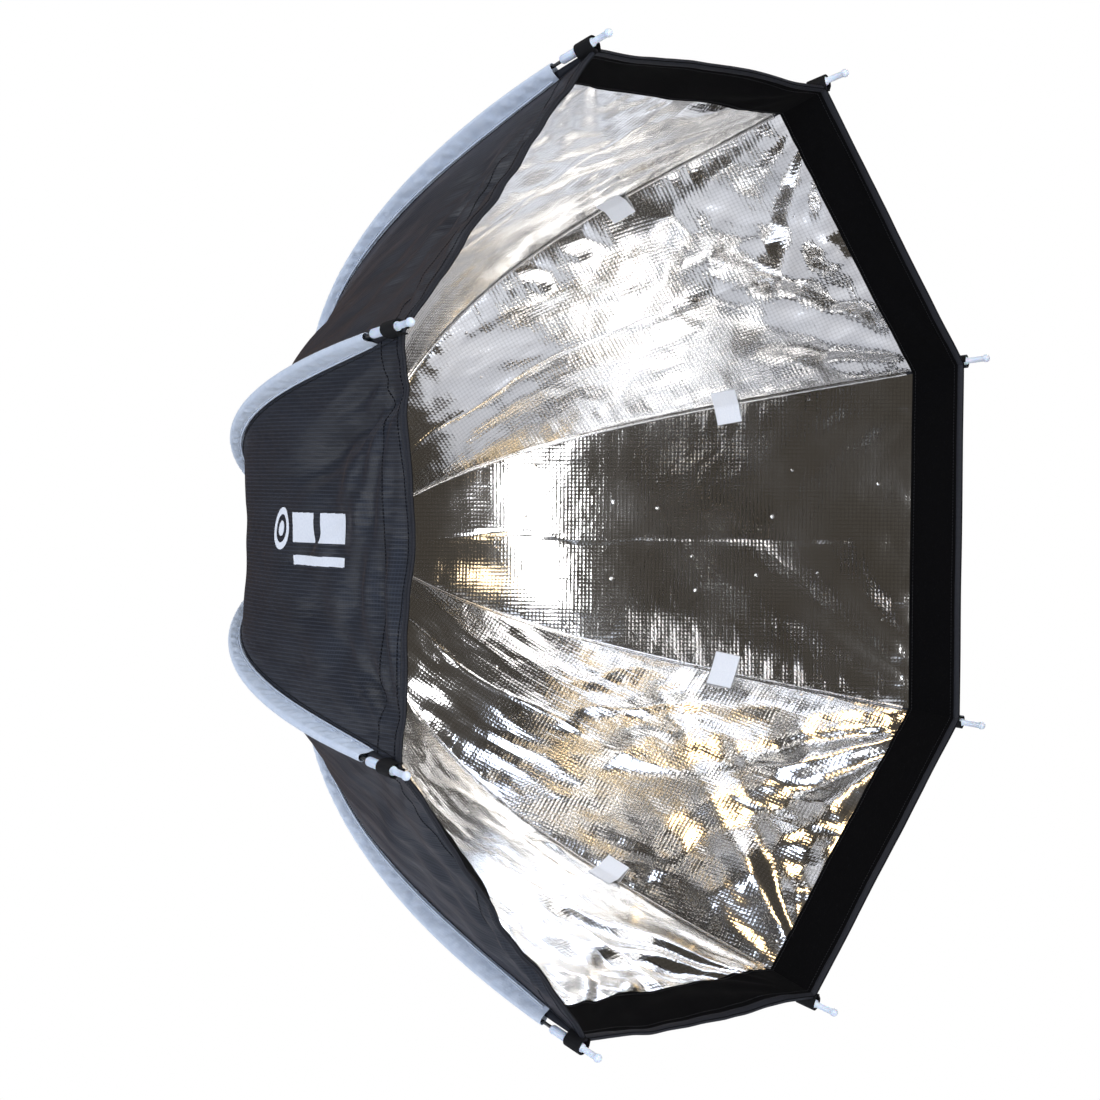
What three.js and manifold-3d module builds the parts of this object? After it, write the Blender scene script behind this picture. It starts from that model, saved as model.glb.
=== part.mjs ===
// A folding octagonal umbrella softbox for a studio flash.
//
// Eight sprung ribs hinge on a hub, as an umbrella's do, and hold a black cloth cover open. The
// cover is eight gores, and the seam between two gores runs along each rib. The light sits in the
// hub's bayonet ring and shines out of the mouth.
//
// Millimetres. The optical axis is Y: the light's seat is the plane y = 0 and the mouth faces -Y.
// The origin is the centre of the seat. +Z is up.

import * as THREE from 'three';
import { mergeVertices } from 'three/addons/utils/BufferGeometryUtils.js';
import Module from 'manifold-3d';

const wasm = await Module();
wasm.setup();

// ---- Driving dimensions --------------------------------------------------------------------

const RIBS = 8;
const STEP = (2 * Math.PI) / RIBS; // angle between two ribs
const HALF = STEP / 2; // from a rib to the middle of a gore
const MOUTH_R = 450; // axis to a corner of the cloth at the mouth
const DEPTH = 470; // seat plane to mouth plane
const GAP = 0.4; // clearance between neighbouring pieces

// Rib: a rod bent by the cloth. Angles are from the optical axis.
const ROD_R = 1.5;
const ROD_STEPS = 20;
const ROD_START = 0.008; // shares of the rod's line, inside the socket and inside the tip
const ROD_END = 0.989;
const ROD_BORE_R = 2.3; // the socket's bore
const RIM_ROD_R = 457; // axis to the rod's line at the mouth plane
const ROD_ROOT = { r: 77, y: -32 }; // where the rod leaves its socket
const ROD_RIM_ANGLE = 20;
const ROD_RIM_PULL = 240; // length of the Bezier handle at the mouth
const ROD_ROOT_ANGLE = 86;
const ROD_ROOT_PULL = 170;

// Seam: the line on which two gores meet, inside the rib.
const SEAM_ROOT = { r: 80, y: -46 };
const SEAM_RIM_ANGLE = 29;
const SEAM_RIM_PULL = 180;
const SEAM_ROOT_ANGLE = 86;
const SEAM_ROOT_PULL = 205;
const CLOTH_T = 1.2; // cover and lining together, as one solid

// Sleeve: the tape pocket that holds the rod to the seam.
const SLEEVE_HEIGHT = 7.6; // rod's line to the stitched edge
const SLEEVE_START = 0.045; // shares of the rod's curve, from hub to mouth
const SLEEVE_END = 0.914;
const SLEEVE_OUTER_R = 3.8;
const SLEEVE_BORE_R = 2.7;
const SLEEVE_HEM_HALF = 0.8; // half the thickness of the stitched edge

// Tip: the ferrule, neck and ball on the rod's end.
const FERRULE_R = 4;
const FERRULE_LENGTH = 40;
const FERRULE_MOUTH_BEVEL = { across: 0.6, along: 0.8 };
const FERRULE_END_BEVEL = 1;
const NECK_R = 2.8;
const NECK_LENGTH = 15;
const BALL_R = 3.8;
const BALL_SUNK = 1; // how far the ball goes into the end of the neck
const TIP_BORE_R = 2.1;
const TIP_BORE_DEPTH = 34;

// Hub.
const HINGE = { r: 68, y: -32 }; // the circle that the sockets turn on
const HUB_R = 74;
const HUB_BORE_R = 58;
const HUB_FRONT = -44;
const HUB_BACK = -6.3;
const SLOT_WIDTH = 9;
const SLOT_BACK = -18.5;
const SLOT_REACH = 30; // the slot cutter's size away from the axis
const OVERCUT = 10; // how far the slot cutter runs out of the hub's front
const WIRE_R = 1;
const WIRE_GROOVE_R = 1.5;
const SOCKET_WIDTH = 7.6;
const SOCKET_EYE_R = 4.6;
const SOCKET_ARM_R = 4;
const SOCKET_END = 96;
const NOSE_END = 54.5;
const NOSE_HALF = 3;
const NOSE_ROOT = 3; // from the hinge back to where the nose's side meets the eye
const EYE_ARC = { arm: 0.9, nose: 2.45 }; // where the eye meets arm and nose, radians

// Lock collar: the ring behind the noses.
const COLLAR_R = 57.3;
const COLLAR_BORE_R = 50.5;
const COLLAR_FRONT = -28.5;
const COLLAR_LENGTH = 10;

// Front cover of the hub.
const COVER_R = 61;
const COVER_BORE_R = 48;
const COVER_T = 2.8;

// Bayonet ring: flange, spigot and three lugs.
const FLANGE_R = 75;
const FLANGE_T = 6;
const SPIGOT_R = 49;
const SPIGOT_BORE_R = 45;
const SPIGOT_LENGTH = 9;
const LUG_R = 53;
const LUG_T = 3.2;
const LUG_ANGLE = 34; // degrees round the spigot
const LUGS = 3;

// Screws that hold the ring to the hub.
const SCREWS = 4;
const SCREW_CIRCLE_R = 66;
const SCREW_R = 1.6;
const SCREW_HEAD_R = 3.1;
const SCREW_HEAD_T = 2.4;
const SCREW_LENGTH = 14;

// Release button, on top of the hub between two ribs.
const BUTTON = { y: -13, stemR: 2.8, capR: 6, capT: 4, capBottom: 77.6, stemEnd: 60.5 };
const BUTTON_POCKET_R = 5.2;
const BUTTON_POCKET_FLOOR = 64.5;
const SPRING = { r: 4.1, wire: 0.45, turns: 4, bottom: 65.2, top: 76.8 };

// ---- Helpers -------------------------------------------------------------------------------

const degrees = THREE.MathUtils.degToRad;
const group = new THREE.Group();

const FINISH = {
  cloth: { color: 0x2f343d, roughness: 0.75, metalness: 0 },
  sleeve: { color: 0xb9cfe8, roughness: 0.6, metalness: 0 },
  rod: { color: 0x17181b, roughness: 0.35, metalness: 0.2 },
  tip: { color: 0xe8eef6, roughness: 0.4, metalness: 0 },
  nylon: { color: 0x1b1c1f, roughness: 0.55, metalness: 0 },
  ring: { color: 0xb4b7bb, roughness: 0.35, metalness: 1 },
  steel: { color: 0x8d9094, roughness: 0.3, metalness: 1 },
  button: { color: 0xa3231f, roughness: 0.4, metalness: 0 },
};

function addPart(name, geometry, finish, parent = group) {
  const mesh = new THREE.Mesh(geometry, new THREE.MeshStandardMaterial(FINISH[finish]));
  mesh.name = name;
  parent.add(mesh);
  return mesh;
}

// A closed geometry as a solid that can be cut.
function solid(geometry) {
  const bare = geometry.clone();
  bare.deleteAttribute('normal');
  bare.deleteAttribute('uv');
  const merged = mergeVertices(bare, 1e-4);
  const mesh = new wasm.Mesh({
    numProp: 3,
    vertProperties: new Float32Array(merged.attributes.position.array),
    triVerts: new Uint32Array(merged.index.array),
  });
  return new wasm.Manifold(mesh);
}

function geometryOf(manifold) {
  const { vertProperties, triVerts } = manifold.getMesh();
  const geometry = new THREE.BufferGeometry();
  geometry.setAttribute('position', new THREE.BufferAttribute(vertProperties, 3));
  geometry.setIndex(new THREE.BufferAttribute(triVerts, 1));
  return geometry;
}

function cut(body, tools) {
  return geometryOf(tools.reduce((rest, tool) => rest.subtract(solid(tool)), solid(body)));
}

function join(bodies) {
  return geometryOf(bodies.map(solid).reduce((whole, body) => whole.add(body)));
}

// A ring or disc round the Y axis, from a closed profile of [radius, y] points.
function turned(profile, sides = 48) {
  const points = profile.map(([r, y]) => new THREE.Vector2(r, y));
  points.push(points[0].clone());
  return new THREE.LatheGeometry(points, sides);
}

function washer(inner, outer, low, high, sides) {
  return turned([[inner, low], [outer, low], [outer, high], [inner, high]], sides);
}

function circle(radius, sides) {
  const points = [];
  for (let i = 0; i < sides; i += 1) {
    const angle = (2 * Math.PI * i) / sides;
    points.push(new THREE.Vector2(radius * Math.cos(angle), radius * Math.sin(angle)));
  }
  return points;
}

// A cylinder whose axis runs along the vector to, from the point from.
function bar(radius, from, to, sides = 12) {
  const along = to.clone().sub(from);
  const geometry = new THREE.CylinderGeometry(radius, radius, along.length(), sides);
  const turn = new THREE.Quaternion().setFromUnitVectors(
    new THREE.Vector3(0, 1, 0),
    along.clone().normalize(),
  );
  geometry.applyQuaternion(turn);
  const middle = from.clone().add(to).multiplyScalar(0.5);
  return geometry.translate(middle.x, middle.y, middle.z);
}

// ---- Rib curves, in the rib's own plane: x is the distance from the axis, y the row's Y -----

function bentLine(root, rootAngle, rootPull, rimRadius, rimAngle, rimPull) {
  const start = new THREE.Vector3(root.r, root.y, 0);
  const end = new THREE.Vector3(rimRadius, -DEPTH, 0);
  const handle = (angle, pull) =>
    new THREE.Vector3(Math.sin(degrees(angle)), -Math.cos(degrees(angle)), 0).multiplyScalar(pull);
  return new THREE.CubicBezierCurve3(
    start,
    start.clone().add(handle(rootAngle, rootPull)),
    end.clone().sub(handle(rimAngle, rimPull)),
    end,
  );
}

// A stretch of another curve, given as shares of its length.
class Stretch extends THREE.Curve {
  constructor(whole, from, to) {
    super();
    this.whole = whole;
    this.from = from;
    this.to = to;
  }

  getPoint(t, target = new THREE.Vector3()) {
    return this.whole.getPointAt(this.from + (this.to - this.from) * t, target);
  }
}

const rodLine = bentLine(
  ROD_ROOT, ROD_ROOT_ANGLE, ROD_ROOT_PULL, RIM_ROD_R, ROD_RIM_ANGLE, ROD_RIM_PULL,
);
const seamLine = bentLine(
  SEAM_ROOT, SEAM_ROOT_ANGLE, SEAM_ROOT_PULL, MOUTH_R, SEAM_RIM_ANGLE, SEAM_RIM_PULL,
);

// ---- Rib pieces ----------------------------------------------------------------------------

function rod() {
  const section = new THREE.Shape(circle(ROD_R, 6));
  const path = new Stretch(rodLine, ROD_START, ROD_END);
  return new THREE.ExtrudeGeometry(section, { steps: ROD_STEPS, extrudePath: path });
}

// The tape is folded round the rod and stitched flat below it, so its section is a drop.
function sleeve() {
  const shoulder = SLEEVE_OUTER_R * Math.SQRT1_2;
  const section = new THREE.Shape([
    new THREE.Vector2(0, SLEEVE_OUTER_R),
    new THREE.Vector2(-shoulder, shoulder),
    new THREE.Vector2(-SLEEVE_OUTER_R, 0),
    new THREE.Vector2(-SLEEVE_HEM_HALF, -SLEEVE_HEIGHT),
    new THREE.Vector2(SLEEVE_HEM_HALF, -SLEEVE_HEIGHT),
    new THREE.Vector2(SLEEVE_OUTER_R, 0),
    new THREE.Vector2(shoulder, shoulder),
  ]);
  section.holes.push(new THREE.Path(circle(SLEEVE_BORE_R, 6)));
  const path = new Stretch(rodLine, SLEEVE_START, SLEEVE_END);
  return new THREE.ExtrudeGeometry(section, { steps: 16, extrudePath: path });
}

// Turned about its own axis, then laid along the rod where it ends.
function tip() {
  const profile = [[0, TIP_BORE_DEPTH], [TIP_BORE_R, TIP_BORE_DEPTH], [TIP_BORE_R, 0]];
  profile.push([FERRULE_R - FERRULE_MOUTH_BEVEL.across, 0]);
  profile.push([FERRULE_R, FERRULE_MOUTH_BEVEL.along]);
  profile.push([FERRULE_R, FERRULE_LENGTH - FERRULE_END_BEVEL]);
  profile.push([FERRULE_R - FERRULE_END_BEVEL, FERRULE_LENGTH], [NECK_R, FERRULE_LENGTH]);
  const centre = FERRULE_LENGTH + NECK_LENGTH + BALL_R - BALL_SUNK;
  const neckMeetsBall = Math.asin(NECK_R / BALL_R);
  for (let i = 0; i <= 4; i += 1) {
    const angle = Math.PI - neckMeetsBall - (i / 4) * (Math.PI - neckMeetsBall);
    const radius = i === 4 ? 0 : BALL_R * Math.sin(angle);
    profile.push([radius, centre + BALL_R * Math.cos(angle)]);
  }
  const points = profile.map(([r, y]) => new THREE.Vector2(r, y));
  const geometry = new THREE.LatheGeometry(points, 10);
  const end = rodLine.getPointAt(1);
  const along = rodLine.getTangentAt(1);
  const turn = new THREE.Quaternion().setFromUnitVectors(new THREE.Vector3(0, 1, 0), along);
  geometry.translate(0, -FERRULE_LENGTH, 0).applyQuaternion(turn);
  return geometry.translate(end.x, end.y, end.z);
}

// A lever: nose, eye for the hinge wire, and an arm bored for the rod.
function socket() {
  const outline = new THREE.Shape();
  outline.moveTo(NOSE_END, HINGE.y - NOSE_HALF);
  outline.lineTo(HINGE.r - NOSE_ROOT, HINGE.y - NOSE_HALF);
  outline.absarc(HINGE.r, HINGE.y, SOCKET_EYE_R, -EYE_ARC.nose, -EYE_ARC.arm, false);
  outline.lineTo(SOCKET_END, HINGE.y - SOCKET_ARM_R);
  outline.lineTo(SOCKET_END, HINGE.y + SOCKET_ARM_R);
  outline.absarc(HINGE.r, HINGE.y, SOCKET_EYE_R, EYE_ARC.arm, EYE_ARC.nose, false);
  outline.lineTo(NOSE_END, HINGE.y + NOSE_HALF);
  outline.closePath();
  const plate = new THREE.ExtrudeGeometry(outline, {
    depth: SOCKET_WIDTH, bevelEnabled: false, curveSegments: 4,
  });
  plate.translate(0, 0, -SOCKET_WIDTH / 2);
  const eye = bar(
    WIRE_GROOVE_R,
    new THREE.Vector3(HINGE.r, HINGE.y, -SOCKET_WIDTH),
    new THREE.Vector3(HINGE.r, HINGE.y, SOCKET_WIDTH),
    8,
  );
  const firstStep = ROD_START + (ROD_END - ROD_START) / ROD_STEPS;
  const bore = bar(ROD_BORE_R, rodLine.getPointAt(0), rodLine.getPointAt(firstStep), 8);
  return cut(plate, [eye, bore]);
}

// Half a gore, from its seam to its middle. Every cross line of a gore is parallel to the mouth's
// edge, so the whole gore curves one way only.
function halfGore(side) {
  const stations = 13;
  const across = new THREE.Vector3(-Math.sin(HALF), 0, side * Math.cos(HALF));
  const outward = new THREE.Vector3(Math.cos(HALF), 0, side * Math.sin(HALF));
  const corners = [];
  for (let i = 0; i < stations; i += 1) {
    const share = i / (stations - 1);
    const seam = seamLine.getPointAt(share);
    const way = seamLine.getTangentAt(share);
    const slope = Math.atan2(-way.y, way.x * Math.cos(HALF));
    const normal = outward.clone().multiplyScalar(Math.sin(slope));
    normal.y = Math.cos(slope);
    const width = seam.x * Math.sin(HALF);
    const nearRib = seam.clone().addScaledVector(across, GAP);
    const nearMiddle = seam.clone().addScaledVector(across, width - GAP);
    corners.push(nearRib, nearMiddle);
    corners.push(nearMiddle.clone().addScaledVector(normal, CLOTH_T));
    corners.push(nearRib.clone().addScaledVector(normal, CLOTH_T));
  }
  const faces = [];
  const quad = (a, b, c, d) => faces.push(a, b, c, a, c, d);
  for (let i = 0; i < stations - 1; i += 1) {
    for (let j = 0; j < 4; j += 1) {
      const next = (j + 1) % 4;
      quad(4 * i + j, 4 * i + next, 4 * i + 4 + next, 4 * i + 4 + j);
    }
  }
  const last = 4 * (stations - 1);
  quad(3, 2, 1, 0);
  quad(last, last + 1, last + 2, last + 3);
  if (side > 0) faces.reverse();
  const geometry = new THREE.BufferGeometry().setFromPoints(corners);
  geometry.setIndex(faces);
  return geometry;
}

for (let k = 0; k < RIBS; k += 1) {
  const rib = new THREE.Group();
  rib.rotation.y = -(HALF + k * STEP);
  group.add(rib);
  const number = k + 1;
  addPart(`rib_socket_${number}`, socket(), 'nylon', rib);
  addPart(`rib_rod_${number}`, rod(), 'rod', rib);
  addPart(`rib_tip_${number}`, tip(), 'tip', rib);
  addPart(`rib_sleeve_${number}`, sleeve(), 'sleeve', rib);
  addPart(`gore_half_${number}a`, halfGore(-1), 'cloth', rib);
  addPart(`gore_half_${number}b`, halfGore(1), 'cloth', rib);
}

// ---- Hub -----------------------------------------------------------------------------------

function screwPlace(index) {
  const angle = (index * 2 * Math.PI) / SCREWS + Math.PI / 4;
  const x = SCREW_CIRCLE_R * Math.cos(angle);
  return new THREE.Vector3(x, 0, SCREW_CIRCLE_R * Math.sin(angle));
}

// A hole along Y at a screw's place.
function screwHole(index, radius, low, high) {
  const place = screwPlace(index);
  const from = place.clone().setY(low);
  return bar(radius, from, place.clone().setY(high), 10);
}

function hubBody() {
  const tools = [];
  for (let k = 0; k < RIBS; k += 1) {
    const slotDepth = SLOT_BACK - HUB_FRONT + OVERCUT;
    const slot = new THREE.BoxGeometry(SLOT_REACH, slotDepth, SLOT_WIDTH);
    slot.translate(HINGE.r, SLOT_BACK - slotDepth / 2, 0);
    slot.rotateY(-(HALF + k * STEP));
    tools.push(slot);
  }
  const groove = new THREE.TorusGeometry(HINGE.r, WIRE_GROOVE_R, 6, 64);
  groove.rotateX(Math.PI / 2).translate(0, HINGE.y, 0);
  tools.push(groove);
  for (let i = 0; i < SCREWS; i += 1) {
    tools.push(screwHole(i, SCREW_R + GAP, -SCREW_LENGTH - 1.5, 1));
  }
  const axisAt = (z) => new THREE.Vector3(0, BUTTON.y, z);
  tools.push(bar(BUTTON.stemR + GAP, axisAt(HUB_BORE_R - 3), axisAt(HUB_R + 3), 16));
  tools.push(bar(BUTTON_POCKET_R, axisAt(BUTTON_POCKET_FLOOR), axisAt(HUB_R + 3), 16));
  return cut(washer(HUB_BORE_R, HUB_R, HUB_FRONT, HUB_BACK), tools);
}

function hingeWire() {
  const wire = new THREE.TorusGeometry(HINGE.r, WIRE_R, 6, 64);
  return wire.rotateX(Math.PI / 2).translate(0, HINGE.y, 0);
}

// The flange that seats on the light, with the spigot and its lugs behind the seat plane.
function bayonetRing() {
  const ring = turned([
    [SPIGOT_BORE_R, -FLANGE_T], [FLANGE_R, -FLANGE_T], [FLANGE_R, 0],
    [SPIGOT_R, 0], [SPIGOT_R, SPIGOT_LENGTH], [SPIGOT_BORE_R, SPIGOT_LENGTH],
  ]);
  const half = degrees(LUG_ANGLE / 2);
  const lugs = [];
  for (let i = 0; i < LUGS; i += 1) {
    const arc = new THREE.Shape();
    arc.absarc(0, 0, LUG_R, -half, half, false);
    arc.absarc(0, 0, SPIGOT_R - 1, half, -half, true);
    arc.closePath();
    const lug = new THREE.ExtrudeGeometry(arc, {
      depth: LUG_T, bevelEnabled: false, curveSegments: 5,
    });
    lug.rotateX(Math.PI / 2).translate(0, SPIGOT_LENGTH, 0);
    lug.rotateY((i * 2 * Math.PI) / LUGS + Math.PI / 2);
    lugs.push(lug);
  }
  const holes = [];
  for (let i = 0; i < SCREWS; i += 1) {
    holes.push(screwHole(i, SCREW_R + GAP, -FLANGE_T - 1, 1));
    holes.push(screwHole(i, SCREW_HEAD_R + GAP, -SCREW_HEAD_T - GAP, 1));
  }
  return cut(join([ring, ...lugs]), holes);
}

function screw(index) {
  const profile = [
    [0, -SCREW_LENGTH], [SCREW_R, -SCREW_LENGTH], [SCREW_R, -SCREW_HEAD_T],
    [SCREW_HEAD_R, -SCREW_HEAD_T], [SCREW_HEAD_R, -0.3], [0, -0.3],
  ];
  const points = profile.map(([r, y]) => new THREE.Vector2(r, y));
  const place = screwPlace(index);
  return new THREE.LatheGeometry(points, 8).translate(place.x, 0, place.z);
}

// Radial pieces are turned about Y and then stood up along Z, on top of the hub.
function standUp(geometry) {
  return geometry.rotateX(Math.PI / 2).translate(0, BUTTON.y, 0);
}

function releaseButton() {
  const top = BUTTON.capBottom + BUTTON.capT;
  const profile = [
    [0, BUTTON.stemEnd], [BUTTON.stemR, BUTTON.stemEnd], [BUTTON.stemR, BUTTON.capBottom],
    [BUTTON.capR, BUTTON.capBottom], [BUTTON.capR, top - 1], [BUTTON.capR - 1, top], [0, top],
  ];
  const points = profile.map(([r, y]) => new THREE.Vector2(r, y));
  return standUp(new THREE.LatheGeometry(points, 16));
}

function buttonSpring() {
  class Coil extends THREE.Curve {
    getPoint(t, target = new THREE.Vector3()) {
      const angle = 2 * Math.PI * SPRING.turns * t;
      const low = SPRING.bottom + SPRING.wire;
      const height = low + (SPRING.top - SPRING.bottom - 2 * SPRING.wire) * t;
      return target.set(SPRING.r * Math.cos(angle), height, SPRING.r * Math.sin(angle));
    }
  }
  const section = new THREE.Shape(circle(SPRING.wire, 5));
  return standUp(
    new THREE.ExtrudeGeometry(section, { steps: 10 * SPRING.turns, extrudePath: new Coil() }),
  );
}

addPart('hub_body', hubBody(), 'nylon');
addPart('hinge_wire', hingeWire(), 'steel');
const coverBack = HUB_FRONT - GAP;
addPart('hub_cover', washer(COVER_BORE_R, COVER_R, coverBack - COVER_T, coverBack), 'nylon');
addPart('bayonet_ring', bayonetRing(), 'ring');
for (let i = 0; i < SCREWS; i += 1) {
  addPart(`ring_screw_${i + 1}`, screw(i), 'steel');
}
const collarBack = COLLAR_FRONT + COLLAR_LENGTH;
addPart('lock_collar', washer(COLLAR_BORE_R, COLLAR_R, COLLAR_FRONT, collarBack), 'nylon');
addPart('release_button', releaseButton(), 'button');
addPart('button_spring', buttonSpring(), 'steel');

export default group;
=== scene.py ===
import math

import bmesh
import bpy
import numpy as np
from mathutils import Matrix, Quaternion, Vector


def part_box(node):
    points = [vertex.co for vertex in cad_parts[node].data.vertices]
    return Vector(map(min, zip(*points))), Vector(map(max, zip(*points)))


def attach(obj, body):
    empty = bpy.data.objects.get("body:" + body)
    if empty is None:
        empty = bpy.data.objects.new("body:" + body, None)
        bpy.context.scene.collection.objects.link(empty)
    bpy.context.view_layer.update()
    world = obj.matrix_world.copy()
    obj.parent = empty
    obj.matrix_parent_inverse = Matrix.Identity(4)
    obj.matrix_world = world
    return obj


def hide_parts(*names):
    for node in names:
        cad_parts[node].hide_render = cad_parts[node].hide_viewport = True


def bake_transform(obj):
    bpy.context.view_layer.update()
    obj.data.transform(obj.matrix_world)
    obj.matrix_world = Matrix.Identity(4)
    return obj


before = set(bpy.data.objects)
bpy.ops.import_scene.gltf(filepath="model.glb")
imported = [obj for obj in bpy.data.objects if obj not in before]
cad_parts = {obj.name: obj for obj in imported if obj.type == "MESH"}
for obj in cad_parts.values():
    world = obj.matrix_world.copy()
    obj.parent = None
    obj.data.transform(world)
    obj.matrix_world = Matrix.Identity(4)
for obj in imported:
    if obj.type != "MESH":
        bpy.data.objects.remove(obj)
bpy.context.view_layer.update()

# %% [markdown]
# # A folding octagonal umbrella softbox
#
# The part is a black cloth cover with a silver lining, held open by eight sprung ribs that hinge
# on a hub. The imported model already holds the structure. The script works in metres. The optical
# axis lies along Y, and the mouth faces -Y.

MM = 0.001

# %% [markdown]
# ## Camera
#
# The camera is made first, because everything else is judged from it. It stands to the left of the
# mouth and a little in front of it, almost level with the axis, and far enough off that the
# octagon's near and far corners keep nearly the same size. It is placed from the centre of the
# mouth plane, and it is rolled a little.

# %% Camera
MOUTH_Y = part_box("gore_half_1a")[0].y
mouth_centre = Vector((0, MOUTH_Y, 0))
CAMERA_FROM_MOUTH = Vector((-2.600, -1.867, 0.054))
AIM_FROM_MOUTH = Vector((-0.082, 0.114, -0.006))
CAMERA_ROLL = math.radians(0.59)

camera_data = bpy.data.cameras.new("camera")
camera_data.sensor_width = 36
camera_data.lens = 119.5
camera = bpy.data.objects.new("camera", camera_data)
bpy.context.scene.collection.objects.link(camera)
camera.location = mouth_centre + CAMERA_FROM_MOUTH
camera.rotation_mode = "QUATERNION"
level_turn = (AIM_FROM_MOUTH - CAMERA_FROM_MOUTH).to_track_quat("-Z", "Y")
camera.rotation_quaternion = level_turn @ Quaternion((0, 0, 1), CAMERA_ROLL)
bpy.context.scene.camera = camera
bpy.context.scene.view_settings.view_transform = "Standard"
print("mouth plane y", round(MOUTH_Y, 4), "camera", [round(v, 3) for v in camera.location])

# %% [markdown]
# ## Small helpers
#
# Colours are written as the sRGB hex values that a painter would pick, and one function turns them
# to the linear values that Blender's shaders use. One more function adds a node: its settings are
# properties, and its inputs are either values or the outputs of other nodes.

# %% Colour and node helpers


def linear(hex_colour):
    channels = [int(hex_colour[i : i + 2], 16) / 255 for i in (1, 3, 5)]
    bent = [c / 12.92 if c <= 0.04045 else ((c + 0.055) / 1.055) ** 2.4 for c in channels]
    return (*bent, 1.0)


def add(tree, kind, inputs=(), **settings):
    made = tree.nodes.new(kind)
    for name, value in settings.items():
        setattr(made, name, value)
    for key, value in dict(inputs).items():
        if isinstance(value, bpy.types.NodeSocket):
            tree.links.new(value, made.inputs[key])
        else:
            made.inputs[key].default_value = value
    return made


def start_material(name, colour, **sockets):
    """A material with one Principled shader, and its constant values set on its own sockets."""
    material = bpy.data.materials.new(name)
    material.use_nodes = True
    shader = material.node_tree.nodes["Principled BSDF"]
    shader.inputs["Base Color"].default_value = linear(colour)
    for key, value in sockets.items():
        shader.inputs[key.replace("_", " ")].default_value = value
    return material, material.node_tree, shader


def waves(tree, coordinate, pitch):
    """A sine along a coordinate, up and down by turns, that crosses 0 every pitch metres."""
    turns = add(tree, "ShaderNodeMath", {0: coordinate, 1: math.pi / pitch}, operation="MULTIPLY")
    return add(tree, "ShaderNodeMath", {0: turns.outputs[0]}, operation="SINE").outputs[0]


def arches(tree, coordinate, pitch):
    """A row of arches, one every pitch metres: 0 between two threads and 1 on top of one."""
    wave = waves(tree, coordinate, pitch)
    return add(tree, "ShaderNodeMath", {0: wave}, operation="ABSOLUTE").outputs[0]


print("mid grey is", [round(v, 3) for v in linear("#808080")])

# %% [markdown]
# ## Studio
#
# A studio reflector is shown against white, but what its silver lining mirrors is the dark studio
# behind the camera, with a few soft lights in it. So the world shows white to the camera and a
# dim, warm grey to every other ray. Soft lights stand where the gores look: one beside the camera,
# which the far gore mirrors as a bright stripe, three in front, and two above. Three more stand
# behind the softbox, for the black cover and its sleeves, and one gives an edge to its right side.

# %% World
WORLD_LIGHT = 0.07
world = bpy.data.worlds.new("studio")
bpy.context.scene.world = world
world.use_nodes = True
sky = world.node_tree
sky.nodes.clear()
seen_white = add(sky, "ShaderNodeBackground", {"Color": linear("#ffffff"), "Strength": 1.0})
dim_room = add(sky, "ShaderNodeBackground", {"Color": linear("#f2e6d6"), "Strength": WORLD_LIGHT})
ray = add(sky, "ShaderNodeLightPath")
room = add(sky, "ShaderNodeMixShader", {0: ray.outputs["Is Camera Ray"], 1: dim_room.outputs[0],
                                        2: seen_white.outputs[0]})
add(sky, "ShaderNodeOutputWorld", {"Surface": room.outputs[0]})
print("world: 1.0 to the camera and", WORLD_LIGHT, "to other rays")

# %% Floor
FLOOR_Z = -0.74
FLOOR_R = 1.25
FLOOR_SIDES = 96
floor_mesh = bpy.data.meshes.new("floor")
floor_ring = [(FLOOR_R * math.cos(a), MOUTH_Y / 2 + FLOOR_R * math.sin(a), FLOOR_Z)
              for a in np.linspace(0, 2 * math.pi, FLOOR_SIDES, endpoint=False)]
floor_mesh.from_pydata(floor_ring, [], [list(range(FLOOR_SIDES))])
floor = bpy.data.objects.new("floor", floor_mesh)
bpy.context.scene.collection.objects.link(floor)
paint, tree, shader = start_material("matt white floor paint", "#f6f6f4", Roughness=0.9)
place = add(tree, "ShaderNodeTexCoord").outputs["Object"]
grain = add(tree, "ShaderNodeTexNoise", {"Vector": place, "Scale": 9.0, "Detail": 3.0})
tint = add(tree, "ShaderNodeMix", {0: grain.outputs["Fac"], 6: linear("#eceef2"),
                                   7: linear("#f5f7fa")}, data_type="RGBA")
tree.links.new(tint.outputs[2], shader.inputs["Base Color"])
floor_mesh.materials.append(paint)
print("floor", 2 * FLOOR_R, "m across, at z", FLOOR_Z)

# %% Lights


def soft_light(name, place, aim, width, height, power, colour):
    data = bpy.data.lights.new(name, "AREA")
    data.shape = "RECTANGLE"
    data.size, data.size_y = width, height
    data.energy = power
    data.color = linear(colour)[:3]
    light = bpy.data.objects.new(name, data)
    bpy.context.scene.collection.objects.link(light)
    light.location = place
    light.rotation_mode = "QUATERNION"
    light.rotation_quaternion = (Vector(aim) - Vector(place)).to_track_quat("-Z", "Y")
    light.visible_camera = False
    return light


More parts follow.
